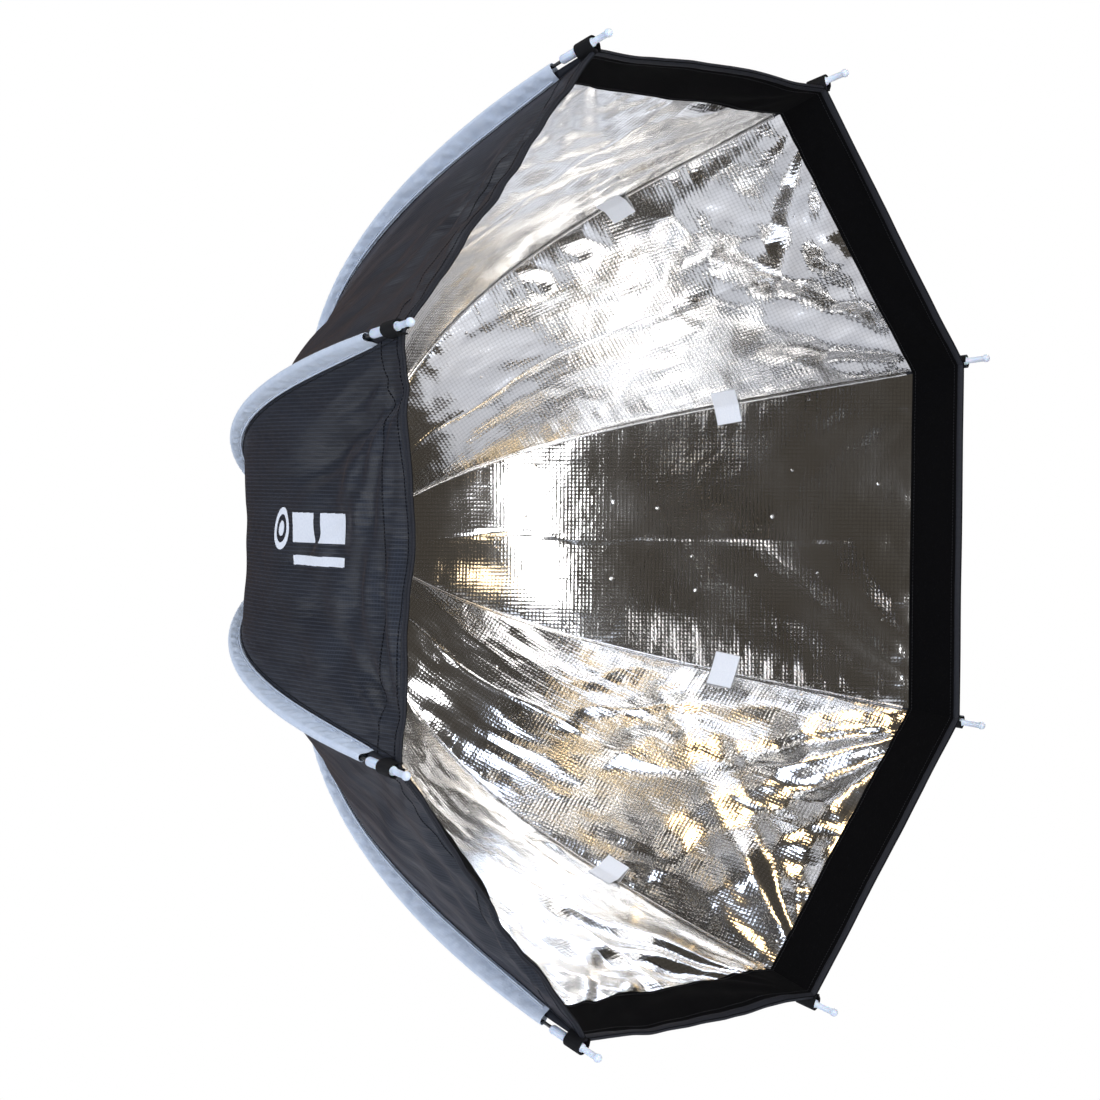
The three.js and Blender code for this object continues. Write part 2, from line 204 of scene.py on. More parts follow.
HEART = (0.05, MOUTH_Y / 2, 0)
COVER_SIDE = (-0.2, -0.2, 0)
soft_light("beside camera", (-1.22, -2.18, 0.0), HEART, 0.84, 1.0, 20, "#fbfcff")
soft_light("front high", (-0.45, -2.3, 0.85), HEART, 0.8, 0.5, 12, "#f4f5fa")
soft_light("front low", (-0.35, -2.3, -0.4), HEART, 0.5, 0.3, 2.4, "#ffe6bd")
soft_light("above left", (-1.2, -1.5, 1.5), HEART, 0.85, 0.85, 18, "#dfeaff")
soft_light("low front", (-0.62, -1.05, -0.7), HEART, 0.5, 0.4, 1, "#e2ecff")
soft_light("above mouth", (0.0, -0.85, 1.5), HEART, 0.45, 0.3, 3.5, "#ffe0ae")
soft_light("behind left", (-2.4, 0.8, 0.1), COVER_SIDE, 1.2, 0.9, 15, "#b8d0ff")
soft_light("behind high", (-1.0, 1.3, 1.7), COVER_SIDE, 1.3, 1.0, 25, "#eff1f4")
soft_light("behind low", (-1.3, 1.1, -0.6), COVER_SIDE, 1.0, 0.8, 15, "#eff1f4")
soft_light("right rim", (2.2, 0.3, 0.8), (0.3, -0.3, 0), 1.2, 1.2, 30, "#e6eeff")

# %% [markdown]
# ## The shape of a gore
#
# Every rib lies in a plane through the axis. The rod follows a Bezier curve from its socket to its
# tip, and the seam below it is a second curve. A gore is stretched flat between its two seams, so
# each of its cross lines is parallel to the edge of the mouth. A point of the cloth is then given
# by two shares: across, from one seam (-1) to the other (1), and along, from the hub (0) to the
# mouth (1). The driving sizes are those of the imported model, in millimetres and degrees.

# %% Rib and seam curves
RIBS = 8
HALF_ANGLE = math.pi / RIBS
HALVES = [(number, side) for number in range(1, RIBS + 1) for side in "ab"]
ROD = dict(root=(77, -32), root_angle=86, root_pull=170, rim=457, rim_angle=20, rim_pull=240)
SEAM = dict(root=(80, -46), root_angle=86, root_pull=205, rim=450, rim_angle=29, rim_pull=180)
STEPS = 2001


def sprung_line(root, root_angle, root_pull, rim, rim_angle, rim_pull):
    """Evenly spaced points of the curve, as (distance from the axis, y), in metres."""
    start = np.array(root, float)
    end = np.array([rim, MOUTH_Y / MM])
    a, b = math.radians(root_angle), math.radians(rim_angle)
    first = start + root_pull * np.array([math.sin(a), -math.cos(a)])
    second = end - rim_pull * np.array([math.sin(b), -math.cos(b)])
    t = np.linspace(0, 1, STEPS)[:, None]
    points = (1 - t) ** 3 * start + 3 * (1 - t) ** 2 * t * first
    points = points + 3 * (1 - t) * t**2 * second + t**3 * end
    run = np.concatenate([[0], np.cumsum(np.linalg.norm(np.diff(points, axis=0), axis=1))])
    even = np.linspace(0, run[-1], STEPS)
    return np.stack([np.interp(even, run, points[:, i]) for i in (0, 1)], axis=1) * MM


def line_length(line):
    return float(np.linalg.norm(np.diff(line, axis=0), axis=1).sum())


rod_line = sprung_line(**ROD)
seam_line = sprung_line(**SEAM)
ROD_LENGTH, SEAM_LENGTH = line_length(rod_line), line_length(seam_line)
print("rod", round(ROD_LENGTH, 4), "seam", round(SEAM_LENGTH, 4), "metres")

# %% Points and directions on a rib


def at(line, share):
    places = np.asarray(share, float) * (len(line) - 1)
    return np.stack([np.interp(places, np.arange(len(line)), line[:, i]) for i in (0, 1)], -1)


def heading(line, share):
    step = 0.002
    ahead = at(line, np.minimum(np.asarray(share) + step, 1))
    behind = at(line, np.maximum(np.asarray(share) - step, 0))
    way = ahead - behind
    return way / np.linalg.norm(way, axis=-1, keepdims=True)


def rib_angle(number):
    return (2 * number - 1) * HALF_ANGLE


def outward(angle):
    return np.array([math.cos(angle), 0.0, math.sin(angle)])


def sideways(angle):
    return np.array([-math.sin(angle), 0.0, math.cos(angle)])


def off_line(line, share):
    """Points of a line, and the direction in its plane that points away from the cloth."""
    way = heading(line, share)
    return at(line, share), np.stack([-way[..., 1], way[..., 0]], -1)


Y = np.array([0.0, 1.0, 0.0])


def on_rib(number, flat):
    """Points given as (distance from the axis, y, distance from the rib's plane)."""
    angle = rib_angle(number)
    flat = np.asarray(flat)
    return flat[..., :1] * outward(angle) + flat[..., 1:2] * Y + flat[..., 2:3] * sideways(angle)


# %% [markdown]
# ## Folds and crumples
#
# Stretched cloth isn't smooth. The whole gore has long, soft folds, some of which fan out from its
# two corners, where the tips pull, and some of which run from the hub to the mouth. The cover and
# the lining share them. The lining is a metallised film on a scrim of thread, so it also crumples
# like foil, in flat facets between sharp creases. Both come from gradient noise. Soft folds use it
# as it is, and creases use its absolute value, which has a sharp valley wherever the noise passes
# zero. The noise is worked out in the gore's own coordinates with a fixed seed, so each run gives
# the same cloth and the two halves of a gore meet.
#
# Lengths in these cells are millimetres: a noise that takes x / 95 changes over 95 mm across. Each
# list has one value a gore, from the gore between ribs 1 and 2 to the one between ribs 8 and 1.

# %% Gradient noise


def gradient_noise(x, y, seed):
    generator = np.random.default_rng(seed)
    order = generator.permutation(256)
    angles = generator.uniform(0, 2 * math.pi, 256)
    x0, y0 = np.floor(x).astype(int), np.floor(y).astype(int)
    fx, fy = x - x0, y - y0

    def corner(dx, dy):
        key = angles[order[(order[(x0 + dx) % 256] + y0 + dy) % 256]]
        return np.cos(key) * (fx - dx) + np.sin(key) * (fy - dy)

    sx, sy = fx * fx * (3 - 2 * fx), fy * fy * (3 - 2 * fy)
    low = corner(0, 0) * (1 - sx) + corner(1, 0) * sx
    high = corner(0, 1) * (1 - sx) + corner(1, 1) * sx
    return 1.5 * (low * (1 - sy) + high * sy)


def smooth(x, low, high):
    t = np.clip((x - low) / (high - low), 0, 1)
    return t * t * (3 - 2 * t)


sample = gradient_noise(*np.meshgrid(np.linspace(0, 9, 200), np.linspace(0, 9, 200)), 1)
print("noise from", sample.min().round(2), "to", sample.max().round(2))

# %% Soft folds of a whole gore


def cloth_millimetres(across, along):
    """Distance from the gore's middle line, and distance from its hub end, in millimetres."""
    half_width = at(seam_line, along)[..., 0] * math.sin(HALF_ANGLE) / MM
    return across * half_width, along * SEAM_LENGTH / MM, half_width


SAG = 5.0
FANNED = [4.0, 3.5, 5.5, 7.0, 6.5, 4.5, 3.5, 1.0]
STREAKED = [0.8, 0.5, 2.2, 1.3, 2.4, 0.9, 0.8, 0.2]
# Creases of the printed panel: start x and s, end x and s, depth, width.
PANEL_CREASES = [(-128, 588, -48, 356, 12.0, 12), (-148, 590, -92, 400, 5.0, 7),
                 (138, 588, 62, 420, 5.0, 9), (-60, 552, 120, 540, 2.8, 15),
                 (-30, 470, 30, 330, 3.4, 8), (-70, 470, -52, 380, 3.6, 6)]
PRINTED_GORE = 3


def soft_folds(gore, across, along):
    """Folds that the cover and the lining share, in metres outwards, 0 at the seams."""
    x, s, half_width = cloth_millimetres(across, along)
    from_rim = (1 - along) * SEAM_LENGTH / MM
    tight = 1 - np.abs(across) ** 6
    hollow = -SAG * (1 - across**2) * np.sin(math.pi * along) ** 0.7
    drift = 2.6 * gradient_noise(x / 95 + s / 300, s / 170, 40 + gore)
    fan = 0.0
    for corner in (-1, 1):
        sway = x * corner - half_width
        reach = np.hypot(sway, from_rim)
        angle = np.arctan2(from_rim, -sway)
        ray = gradient_noise(angle * 5.2 + 3 * corner, reach / 260, 60 + gore)
        fan = fan + FANNED[gore] * ray * smooth(reach, 12, 90) * (1 - smooth(reach, 160, 420))
    streak = STREAKED[gore] * gradient_noise(x / 26 + s / 420, s / 240, 70 + gore)
    edge = 2.4 * gradient_noise(x / 75, s * 0 + gore / 2, 80) * smooth(along, 0.86, 1)
    free = tight * smooth(along, 0.0, 0.12)
    creases = 0.0
    for x0, s0, x1, s1, deep, wide in PANEL_CREASES if gore == PRINTED_GORE else []:
        span = np.hypot(x1 - x0, s1 - s0)
        down = ((x - x0) * (x1 - x0) + (s - s0) * (s1 - s0)) / span**2
        beside = ((x - x0) * (s1 - s0) - (s - s0) * (x1 - x0)) / span
        taper = smooth(down, -0.1, 0.15) * (1 - smooth(down, 0.6, 1.1))
        creases = creases - deep * taper * np.exp(-((beside / wide) ** 2))
    return MM * (hollow + free * (drift + fan + streak + edge + creases))


CRUMPLED = [1.25, 0.6, 0.9, 0.9, 0.9, 1.1, 1.15, 0.15]
PULLED = [0.3, 0.2, 0.5, 0.5, 0.5, 0.5, 0.9, 0.15]
BROAD, MIDDLE, SMALL = 2.1, 0.7, 0.16
BAND_EDGE = 60


def crumple(gore, across, along):
    """Creases of the metallised film, in metres inwards, never negative, none below the band."""
    x, s, half_width = cloth_millimetres(across, along)
    to_seam = half_width * (1 - np.abs(across))
    from_rim = (1 - along) * SEAM_LENGTH / MM
    warp = 9 * gradient_noise(x / 50, s / 50, 100 + gore)
    broad = 1 - 1.6 * np.abs(gradient_noise((x + warp) / 62, (s - warp) / 78, 110 + gore))
    middle = 1 - 1.6 * np.abs(gradient_noise((x - warp) / 27, (s + warp) / 34, 120 + gore))
    small = 1 - 1.6 * np.abs(gradient_noise(x / 12.5, s / 14, 130 + gore))
    patches = smooth(gradient_noise(x / 110, s / 110, 160 + gore), -0.3, 0.5)
    worn = CRUMPLED[gore] * (0.35 + patches) * (0.4 + 0.6 * smooth(along, 0.3, 0.65))
    pucker = gradient_noise(x / 60, s / 10, 140 + gore) * np.exp(-to_seam / 20)
    fold_line = 7 * gradient_noise(s / 90, x * 0, 150 + gore)
    fold = np.exp(-np.abs((x - fold_line) / 3.0))
    pulled = PULLED[gore] * gradient_noise((x + warp) / 17, s / 75, 170 + gore)
    by_band = np.exp(-(((from_rim - BAND_EDGE) / 16) ** 2))
    gathered = 1.5 * gradient_noise(x / 16, s / 60, 180 + gore) * by_band
    depth = worn * (BROAD * broad + MIDDLE * middle + SMALL * small) + 0.9 * pucker + 0.9 * fold
    depth = depth + pulled * (1 - smooth(along, 0.4, 0.8)) + gathered
    under_band = smooth(from_rim, 44, 62)
    return MM * np.clip(depth, 0, None) * (1 - np.abs(across) ** 20) * under_band


print("deepest crease, mm:", (crumple(1, *np.meshgrid(np.linspace(-1, 1, 90),
                                                     np.linspace(0, 1, 200))).max() / MM).round(1))

# %% Points of half a gore


def gore_points(number, side, share, along, shift):
    """share is 0 at the rib's seam and 1 on the gore's middle line. shift is metres outwards from
    the stretched cloth, as a number or as a function of the gore, across and along."""
    share, along = np.broadcast_arrays(share, along)
    sign = -1 if side == "a" else 1
    gore = (number - 1 if side == "b" else number - 2) % RIBS
    middle = rib_angle(number) + sign * HALF_ANGLE
    across = -sign * (1 - share)
    seam, way = at(seam_line, along), heading(seam_line, along)
    run = way[..., 0] * math.cos(HALF_ANGLE)
    size = np.hypot(run, way[..., 1])
    rise = soft_folds(gore, across, along)
    rise = rise + (shift(gore, across, along) if callable(shift) else shift)
    away = seam[..., 0] * math.cos(HALF_ANGLE) - rise * way[..., 1] / size
    aside = across * seam[..., 0] * math.sin(HALF_ANGLE)
    back = seam[..., 1] + rise * run / size
    points = away[..., None] * outward(middle) + aside[..., None] * sideways(middle)
    return points + back[..., None] * Y


def gore_uv(side, share, along):
    """Metres across and metres along the cloth, the same on both halves of a gore."""
    share, along = np.broadcast_arrays(share, along)
    across = (1 if side == "a" else -1) * (1 - share)
    width = at(seam_line, along)[..., 0] * math.sin(HALF_ANGLE)
    return np.stack([across * width, along * SEAM_LENGTH], -1)


def half_middle(number, side):
    """A direction that points out of the cloth of this half."""
    sign = -1 if side == "a" else 1
    return outward(rib_angle(number) + sign * HALF_ANGLE) + 0.5 * Y


print("corner of rib 1", gore_points(1, "b", 0.0, 1.0, 0.0).round(4))

# %% [markdown]
# ## From a grid of points to a mesh
#
# Every sewn piece here is a grid of points: a strip, a panel, or a band. One function turns a grid
# into quads that face a given way. With a second grid below it, it also closes the edges, which
# gives the cloth a thickness. The UV map is in metres on the flat cloth, so a weave on it has its
# real thread spacing everywhere.

# %% Mesh of a grid
UV_NAME = "cloth metres"


def cloth_mesh(name, top, facing, uv, material, under=None, round_joint=False):
    rows, columns = top.shape[:2]
    count = rows * columns
    index = np.arange(count).reshape(rows, columns)
    if round_joint:
        index = np.concatenate([index, index[:, :1]], axis=1)
    corners = [index[:-1, :-1], index[1:, :-1], index[1:, 1:], index[:-1, 1:]]
    quads = np.stack(corners, -1).reshape(-1, 4)
    flat_points = top.reshape(-1, 3)
    side_1 = flat_points[quads[:, 1]] - flat_points[quads[:, 0]]
    side_2 = flat_points[quads[:, 3]] - flat_points[quads[:, 0]]
    normals = np.cross(side_1, side_2)
    wanted = np.broadcast_to(facing, top.shape).reshape(-1, 3)[quads[:, 0]]
    turned = float((normals * wanted).sum()) < 0
    edge = np.concatenate([index[:-1, 0], index[-1, :-1], index[:0:-1, -1], index[0, :0:-1]])
    if turned:
        quads, edge = quads[:, ::-1], edge[::-1]
    points = flat_points
    if under is not None:
        points = np.concatenate([flat_points, under.reshape(-1, 3)])
        after = np.roll(edge, -1)
        wall = np.stack([after, edge, edge + count, after + count], -1)
        quads = np.concatenate([quads, quads[:, ::-1] + count, wall])
    mesh = bpy.data.meshes.new(name)
    mesh.from_pydata(points, [], quads.tolist())
    layer = mesh.uv_layers.new(name=UV_NAME)
    corner_uv = uv.reshape(-1, 2)[quads.ravel() % count]
    layer.data.foreach_set("uv", corner_uv.astype(np.float32).ravel())
    mesh.shade_smooth()
    if under is not None:
        mesh.set_sharp_from_angle(angle=math.radians(50))
    mesh.materials.append(material)
    made = bpy.data.objects.new(name, mesh)
    bpy.context.scene.collection.objects.link(made)
    return made


def bend_with_gore(piece):
    """Bakes the object's placement into its mesh points."""
    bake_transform(piece)


HALF_GORE_WIDTH = float(seam_line[-1, 0]) * math.sin(HALF_ANGLE)

# %% [markdown]
# ## Silver lining
#
# The real lining is a polyester film with a vapour-deposited layer of aluminium, laminated onto a
# scrim of thread. It mirrors, so its metallic value is 1 and its roughness is low. The scrim pushes
# up through the film, so each square between the threads is a tiny pillow. In a reflection's edge,
# each pillow turns on or off by itself, which gives the dotted grid that such cloth is known by.
# Small dents catch the lights as glints. All the scales are lengths on the real cloth.

# %% Silver film material
SCRIM_PITCH = 3.8 * MM
silver, tree, shader = start_material("aluminised film on polyester scrim", "#e9e6e1",
                                      Metallic=1.0, Roughness=0.17)
place = add(tree, "ShaderNodeTexCoord").outputs["UV"]
apart = add(tree, "ShaderNodeSeparateXYZ", {0: place})
pillow = add(tree, "ShaderNodeMath", {0: arches(tree, apart.outputs["X"], SCRIM_PITCH),
                                      1: arches(tree, apart.outputs["Y"], SCRIM_PITCH)},
             operation="MULTIPLY")
scrim_bump = add(tree, "ShaderNodeBump", {"Strength": 1.0, "Distance": 0.06 * MM,
                                          "Height": pillow.outputs[0]})
foil = add(tree, "ShaderNodeTexNoise", {"Vector": place, "Scale": 1 / (26 * MM), "Detail": 2.0,
                                        "Roughness": 0.5})
foil_ridge = add(tree, "ShaderNodeMath", {0: foil.outputs["Fac"], 1: 0.5}, operation="SUBTRACT")
foil_crease = add(tree, "ShaderNodeMath", {0: foil_ridge.outputs[0]}, operation="ABSOLUTE")
foil_bump = add(tree, "ShaderNodeBump", {"Strength": 1.0, "Distance": 0.7 * MM,
                                         "Height": foil_crease.outputs[0],
                                         "Normal": scrim_bump.outputs[0]})
dents = add(tree, "ShaderNodeTexVoronoi", {"Vector": place, "Scale": 1 / (26 * MM),
                                           "Randomness": 1.0})
dent_depth = add(tree, "ShaderNodeMapRange", {0: dents.outputs["Distance"], 1: 0.0, 2: 0.07,
                                              3: 0.0, 4: 1.0})
dent_bump = add(tree, "ShaderNodeBump", {"Strength": 1.0, "Distance": 0.5 * MM,
                                         "Height": dent_depth.outputs[0],
                                         "Normal": foil_bump.outputs[0]})
tree.links.new(dent_bump.outputs[0], shader.inputs["Normal"])
worn_patch = add(tree, "ShaderNodeTexNoise", {"Vector": place, "Scale": 1 / (90 * MM),
                                              "Detail": 4.0})
film_rough = add(tree, "ShaderNodeMapRange", {0: worn_patch.outputs["Fac"], 1: 0.3, 2: 0.7,
                                              3: 0.08, 4: 0.19})
tree.links.new(film_rough.outputs[0], shader.inputs["Roughness"])
film_tint = add(tree, "ShaderNodeMix", {0: worn_patch.outputs["Fac"], 6: linear("#ece8e1"),
                                        7: linear("#dfe0e2")}, data_type="RGBA")
# The film's colour drops to four fifths where the scrim relief is low: painted shade in the grooves
# between its pillows.
painted_scrim_shade = add(tree, "ShaderNodeMapRange", {0: pillow.outputs[0], 1: 0.0, 2: 0.35,
                                               3: 0.8, 4: 1.0})
film_colour = add(tree, "ShaderNodeMix", {0: 1.0, 6: film_tint.outputs[2],
                                          7: painted_scrim_shade.outputs[0]},
                  data_type="RGBA", blend_type="MULTIPLY")
tree.links.new(film_colour.outputs[2], shader.inputs["Base Color"])
print("scrim pitch", SCRIM_PITCH, "m")

# %% [markdown]
# ## Black ripstop cover
#
# The cover is black nylon ripstop with a polyurethane coating. Every few threads a thicker one runs
# along the cloth, which shows as fine raised lines, painted paler than the cloth between them: a
# painted highlight on the raised threads. The coating gives a soft, wide gloss, so the folds read as
# pale streaks on a near black. The colour also mottles with the long, streaky bump, paler on its
# rises and darker in its hollows, which is painted light and shade on the folds. A weak, warm sheen
# lifts it where it is seen edge-on. The long threads stand out most, and the cross threads less.

# %% Black ripstop material
RIPSTOP_PITCH = 3.2 * MM
ripstop, tree, shader = start_material("coated black nylon ripstop", "#15181f", Roughness=0.5,
                                       Specular_IOR_Level=0.2, Sheen_Weight=0.09,
                                       Sheen_Roughness=0.28,
                                       Sheen_Tint=linear("#dda066"))
place = add(tree, "ShaderNodeTexCoord").outputs["UV"]
apart = add(tree, "ShaderNodeSeparateXYZ", {0: place})
lines = []
for direction, weight in (("X", 1.0), ("Y", 0.45)):
    height = arches(tree, apart.outputs[direction], RIPSTOP_PITCH)
    lines.append(add(tree, "ShaderNodeMapRange", {0: height, 1: 0.0, 2: 0.55, 3: weight,
                                                  4: 0.0}))
threads = add(tree, "ShaderNodeMath", {0: lines[0].outputs[0], 1: lines[1].outputs[0]},
              operation="MAXIMUM")
thread_bump = add(tree, "ShaderNodeBump", {"Strength": 1.0, "Distance": 0.09 * MM,
                                           "Height": threads.outputs[0]})
stretched = add(tree, "ShaderNodeMapping", {"Vector": place, "Scale": (1.0, 0.22, 1.0)})
rumple = add(tree, "ShaderNodeTexNoise", {"Vector": stretched.outputs[0], "Scale": 1 / (24 * MM),
                                          "Detail": 3.0, "Roughness": 0.5})
rumple_bump = add(tree, "ShaderNodeBump", {"Strength": 1.0, "Distance": 5.0 * MM,
                                           "Height": rumple.outputs["Fac"],
                                           "Normal": thread_bump.outputs[0]})
tree.links.new(rumple_bump.outputs[0], shader.inputs["Normal"])
# Colour mottle that follows the streaky bump: paler on its rises and darker in its hollows, painted
# light and shade on the folds.
mottle_and_painted_fold_shade = add(tree, "ShaderNodeMix", {0: rumple.outputs["Fac"], 6: linear("#15171c"),
                                         7: linear("#20242c")}, data_type="RGBA")
# The raised threads are painted paler than the cloth between them: a painted highlight on the
# threads.
painted_thread_highlight = add(tree, "ShaderNodeMix", {0: threads.outputs[0], 6: mottle_and_painted_fold_shade.outputs[2],
                                          7: linear("#383d48")}, data_type="RGBA")
tree.links.new(painted_thread_highlight.outputs[2], shader.inputs["Base Color"])
cover_rough = add(tree, "ShaderNodeMapRange", {0: rumple.outputs["Fac"], 1: 0.3, 2: 0.7,
                                               3: 0.42, 4: 0.58})
tree.links.new(cover_rough.outputs[0], shader.inputs["Roughness"])
print("ripstop pitch", RIPSTOP_PITCH, "m")

# %% [markdown]
# ## Covers and linings
#
# Each gore is two halves, because it folds along its middle line when the ribs swing together. A
# half is a fine grid, and the fold and crumple functions move its points. The outer face is the
# ripstop and the inner face is the film, a fraction of a millimetre apart. They are stretched, not
# draped, so a simulation would add little, and moving the points in code keeps the seams exact.

# %% Covers
COVER_RISE = 1.1 * MM
gore_share = np.linspace(0, 1, 36)[None, :]
gore_along = np.linspace(0, 1, 120)[:, None]
for number, side in HALVES:
    points = gore_points(number, side, gore_share, gore_along, COVER_RISE)
    uv = gore_uv(side, gore_share, gore_along)
    cover = cloth_mesh(f"cover_{number}{side}", points, half_middle(number, side), uv, ripstop)
    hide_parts(f"gore_half_{number}{side}")
    bend_with_gore(cover)

# %% Linings
film_share = np.linspace(0, 1, 46)[None, :]
film_along = np.linspace(0, 1, 156)[:, None]


def film_shift(gore, across, along):
    return -crumple(gore, across, along)


for number, side in HALVES:
    points = gore_points(number, side, film_share, film_along, film_shift)
    uv = gore_uv(side, film_share, film_along)
    lining = cloth_mesh(f"lining_{number}{side}", points, -half_middle(number, side), uv, silver)
    bend_with_gore(lining)

# %% [markdown]
# ## Band and binding
#
# Round the inside of the mouth runs a band of loop tape, which the front diffuser would fasten to.
# Its pile swallows light, so it is the blackest part: very rough, almost no gloss. The raw edges of
# cover, lining and band are folded into a narrow woven binding tape, a rounded bead with a fine
# rib.

# %% Loop tape and binding materials
loop_tape, tree, shader = start_material("brushed nylon loop tape", "#060608", Roughness=1.0,
                                         Specular_IOR_Level=0.12)
pile = add(tree, "ShaderNodeTexNoise", {"Vector": add(tree, "ShaderNodeTexCoord").outputs["UV"],
                                        "Scale": 1 / (1.6 * MM), "Detail": 3.0})
pile_bump = add(tree, "ShaderNodeBump", {"Strength": 1.0, "Distance": 0.5 * MM,
                                         "Height": pile.outputs["Fac"]})
tree.links.new(pile_bump.outputs[0], shader.inputs["Normal"])
pile_tint = add(tree, "ShaderNodeMix", {0: pile.outputs["Fac"], 6: linear("#010102"),
                                        7: linear("#070709")}, data_type="RGBA")
tree.links.new(pile_tint.outputs[2], shader.inputs["Base Color"])


def ribbed_tape(name, painted_groove_shade, pale, pitch, depth, roughness):
    """Woven tape: one rib every pitch metres along the UV map's second axis. Its colour is pale on
    the ribs and dark between them, painted light and shade on the weave.
    """
    material, tree, shader = start_material(name, pale, Roughness=roughness,
                                            Specular_IOR_Level=0.2)
    place = add(tree, "ShaderNodeTexCoord").outputs["UV"]
    along = add(tree, "ShaderNodeSeparateXYZ", {0: place}).outputs["Y"]
    rib = arches(tree, along, pitch)
    fuzz = add(tree, "ShaderNodeTexNoise", {"Vector": place, "Scale": 1 / (2.5 * MM),
                                            "Detail": 3.0})
    relief = add(tree, "ShaderNodeMath", {0: fuzz.outputs["Fac"], 1: 0.6, 2: rib},
                 operation="MULTIPLY_ADD")
    bump = add(tree, "ShaderNodeBump", {"Strength": 1.0, "Distance": depth,
                                        "Height": relief.outputs[0]})
    tree.links.new(bump.outputs[0], shader.inputs["Normal"])
    # Pale on the ribs, dark in the grooves between them: painted light on the ribs and painted shade
    # in the grooves.
    tone = add(tree, "ShaderNodeMix", {0: rib, 6: linear(painted_groove_shade), 7: linear(pale)},
               data_type="RGBA")
    tree.links.new(tone.outputs[2], shader.inputs["Base Color"])
    return material


binding_tape = ribbed_tape("black polyester binding tape", "#101115", "#2a2c33", 1.2 * MM,
                           0.15 * MM, 0.6)
black_webbing = ribbed_tape("black polypropylene webbing", "#020203", "#0b0b0d", 1.5 * MM,
                            0.25 * MM, 0.7)
print("tapes:", loop_tape.name, "/", binding_tape.name, "/", black_webbing.name)

# %% Band
BAND_WIDTH = 50 * MM
band_share = np.linspace(0, 1, 40)[None, :]
band_along = np.linspace(1 - BAND_WIDTH / SEAM_LENGTH, 1, 14)[:, None]
for number, side in HALVES:
    inner = gore_points(number, side, band_share, band_along, -2.2 * MM)
    outer = gore_points(number, side, band_share, band_along, -0.5 * MM)
    uv = gore_uv(side, band_share, band_along)
    band = cloth_mesh(f"band_{number}{side}", inner, -half_middle(number, side), uv, loop_tape,
                      under=outer)
    bend_with_gore(band)
print("band", BAND_WIDTH / MM, "mm wide")

# %% Binding
BINDING_WIDTH = 7 * MM
turn = np.linspace(0, 2 * math.pi, 16, endpoint=False)
for number, side in HALVES:
    share = np.linspace(0, 1, 44)
    edge = gore_points(number, side, share, 1.0, -0.5 * MM)
    inside = gore_points(number, side, share, 1 - 5 * MM / SEAM_LENGTH, -0.5 * MM)
    down = (edge - inside) / np.linalg.norm(edge - inside, axis=-1, keepdims=True)
    face = gore_points(number, side, share, 1.0, 1 * MM) - edge
    face = face / np.linalg.norm(face, axis=-1, keepdims=True)
    half_width = BINDING_WIDTH / 2 * np.cos(turn)[None, :, None]
    half_depth = 2.3 * MM * np.sign(np.sin(turn)) * np.abs(np.sin(turn)) ** 0.7
    bead = (edge - 3.2 * MM * down)[:, None] + half_width * down[:, None]
    bead = bead + half_depth[None, :, None] * face[:, None]
    away = bead - bead.mean(axis=1, keepdims=True)
    along_edge = share[:, None] * HALF_GORE_WIDTH + 0 * turn
    uv = np.stack([np.broadcast_to(turn * 3 * MM, along_edge.shape), along_edge], -1)
    binding = cloth_mesh(f"binding_{number}{side}", bead, away, uv, binding_tape, round_joint=True)
    bend_with_gore(binding)
print("binding", BINDING_WIDTH / MM, "mm wide")

# %% [markdown]
# ## Rib sleeves
#
# A pale sleeve of taffeta holds each rod. It is one strip, folded over the rod, with both tails
# sewn into the seam, so its section is a tall drop: round over the rod and closing at the seam. Its
# sides wrinkle, and gather most in the hub's half, where the rib bends most. The strip has a real
# thickness, which shows at its open ends.

# %% Taffeta and rod materials
WEAVE_PITCH = 0.9 * MM
taffeta, tree, shader = start_material("pale blue polyester taffeta", "#c6d6e8", Roughness=0.55,
                                       Sheen_Weight=0.25, Sheen_Roughness=0.35)
place = add(tree, "ShaderNodeTexCoord").outputs["UV"]
apart = add(tree, "ShaderNodeSeparateXYZ", {0: place})
basket = add(tree, "ShaderNodeMath", {0: waves(tree, apart.outputs["X"], WEAVE_PITCH),
                                      1: waves(tree, apart.outputs["Y"], WEAVE_PITCH)},
             operation="MULTIPLY")
weave_bump = add(tree, "ShaderNodeBump", {"Strength": 1.0, "Distance": 0.06 * MM,
                                          "Height": basket.outputs[0]})
crush = add(tree, "ShaderNodeTexNoise", {"Vector": place, "Scale": 1 / (11 * MM), "Detail": 3.0})
crush_bump = add(tree, "ShaderNodeBump", {"Strength": 1.0, "Distance": 1.4 * MM,
                                          "Height": crush.outputs["Fac"],
                                          "Normal": weave_bump.outputs[0]})
tree.links.new(crush_bump.outputs[0], shader.inputs["Normal"])
# Colour mottle that follows the crush bump: paler on its rises and darker in its hollows, painted
# shade in the wrinkles.
mottle_and_painted_crush_shade = add(tree, "ShaderNodeMix", {0: crush.outputs["Fac"], 6: linear("#c2cfde"),
                                          7: linear("#e4ebf3")}, data_type="RGBA")
tree.links.new(mottle_and_painted_crush_shade.outputs[2], shader.inputs["Base Color"])

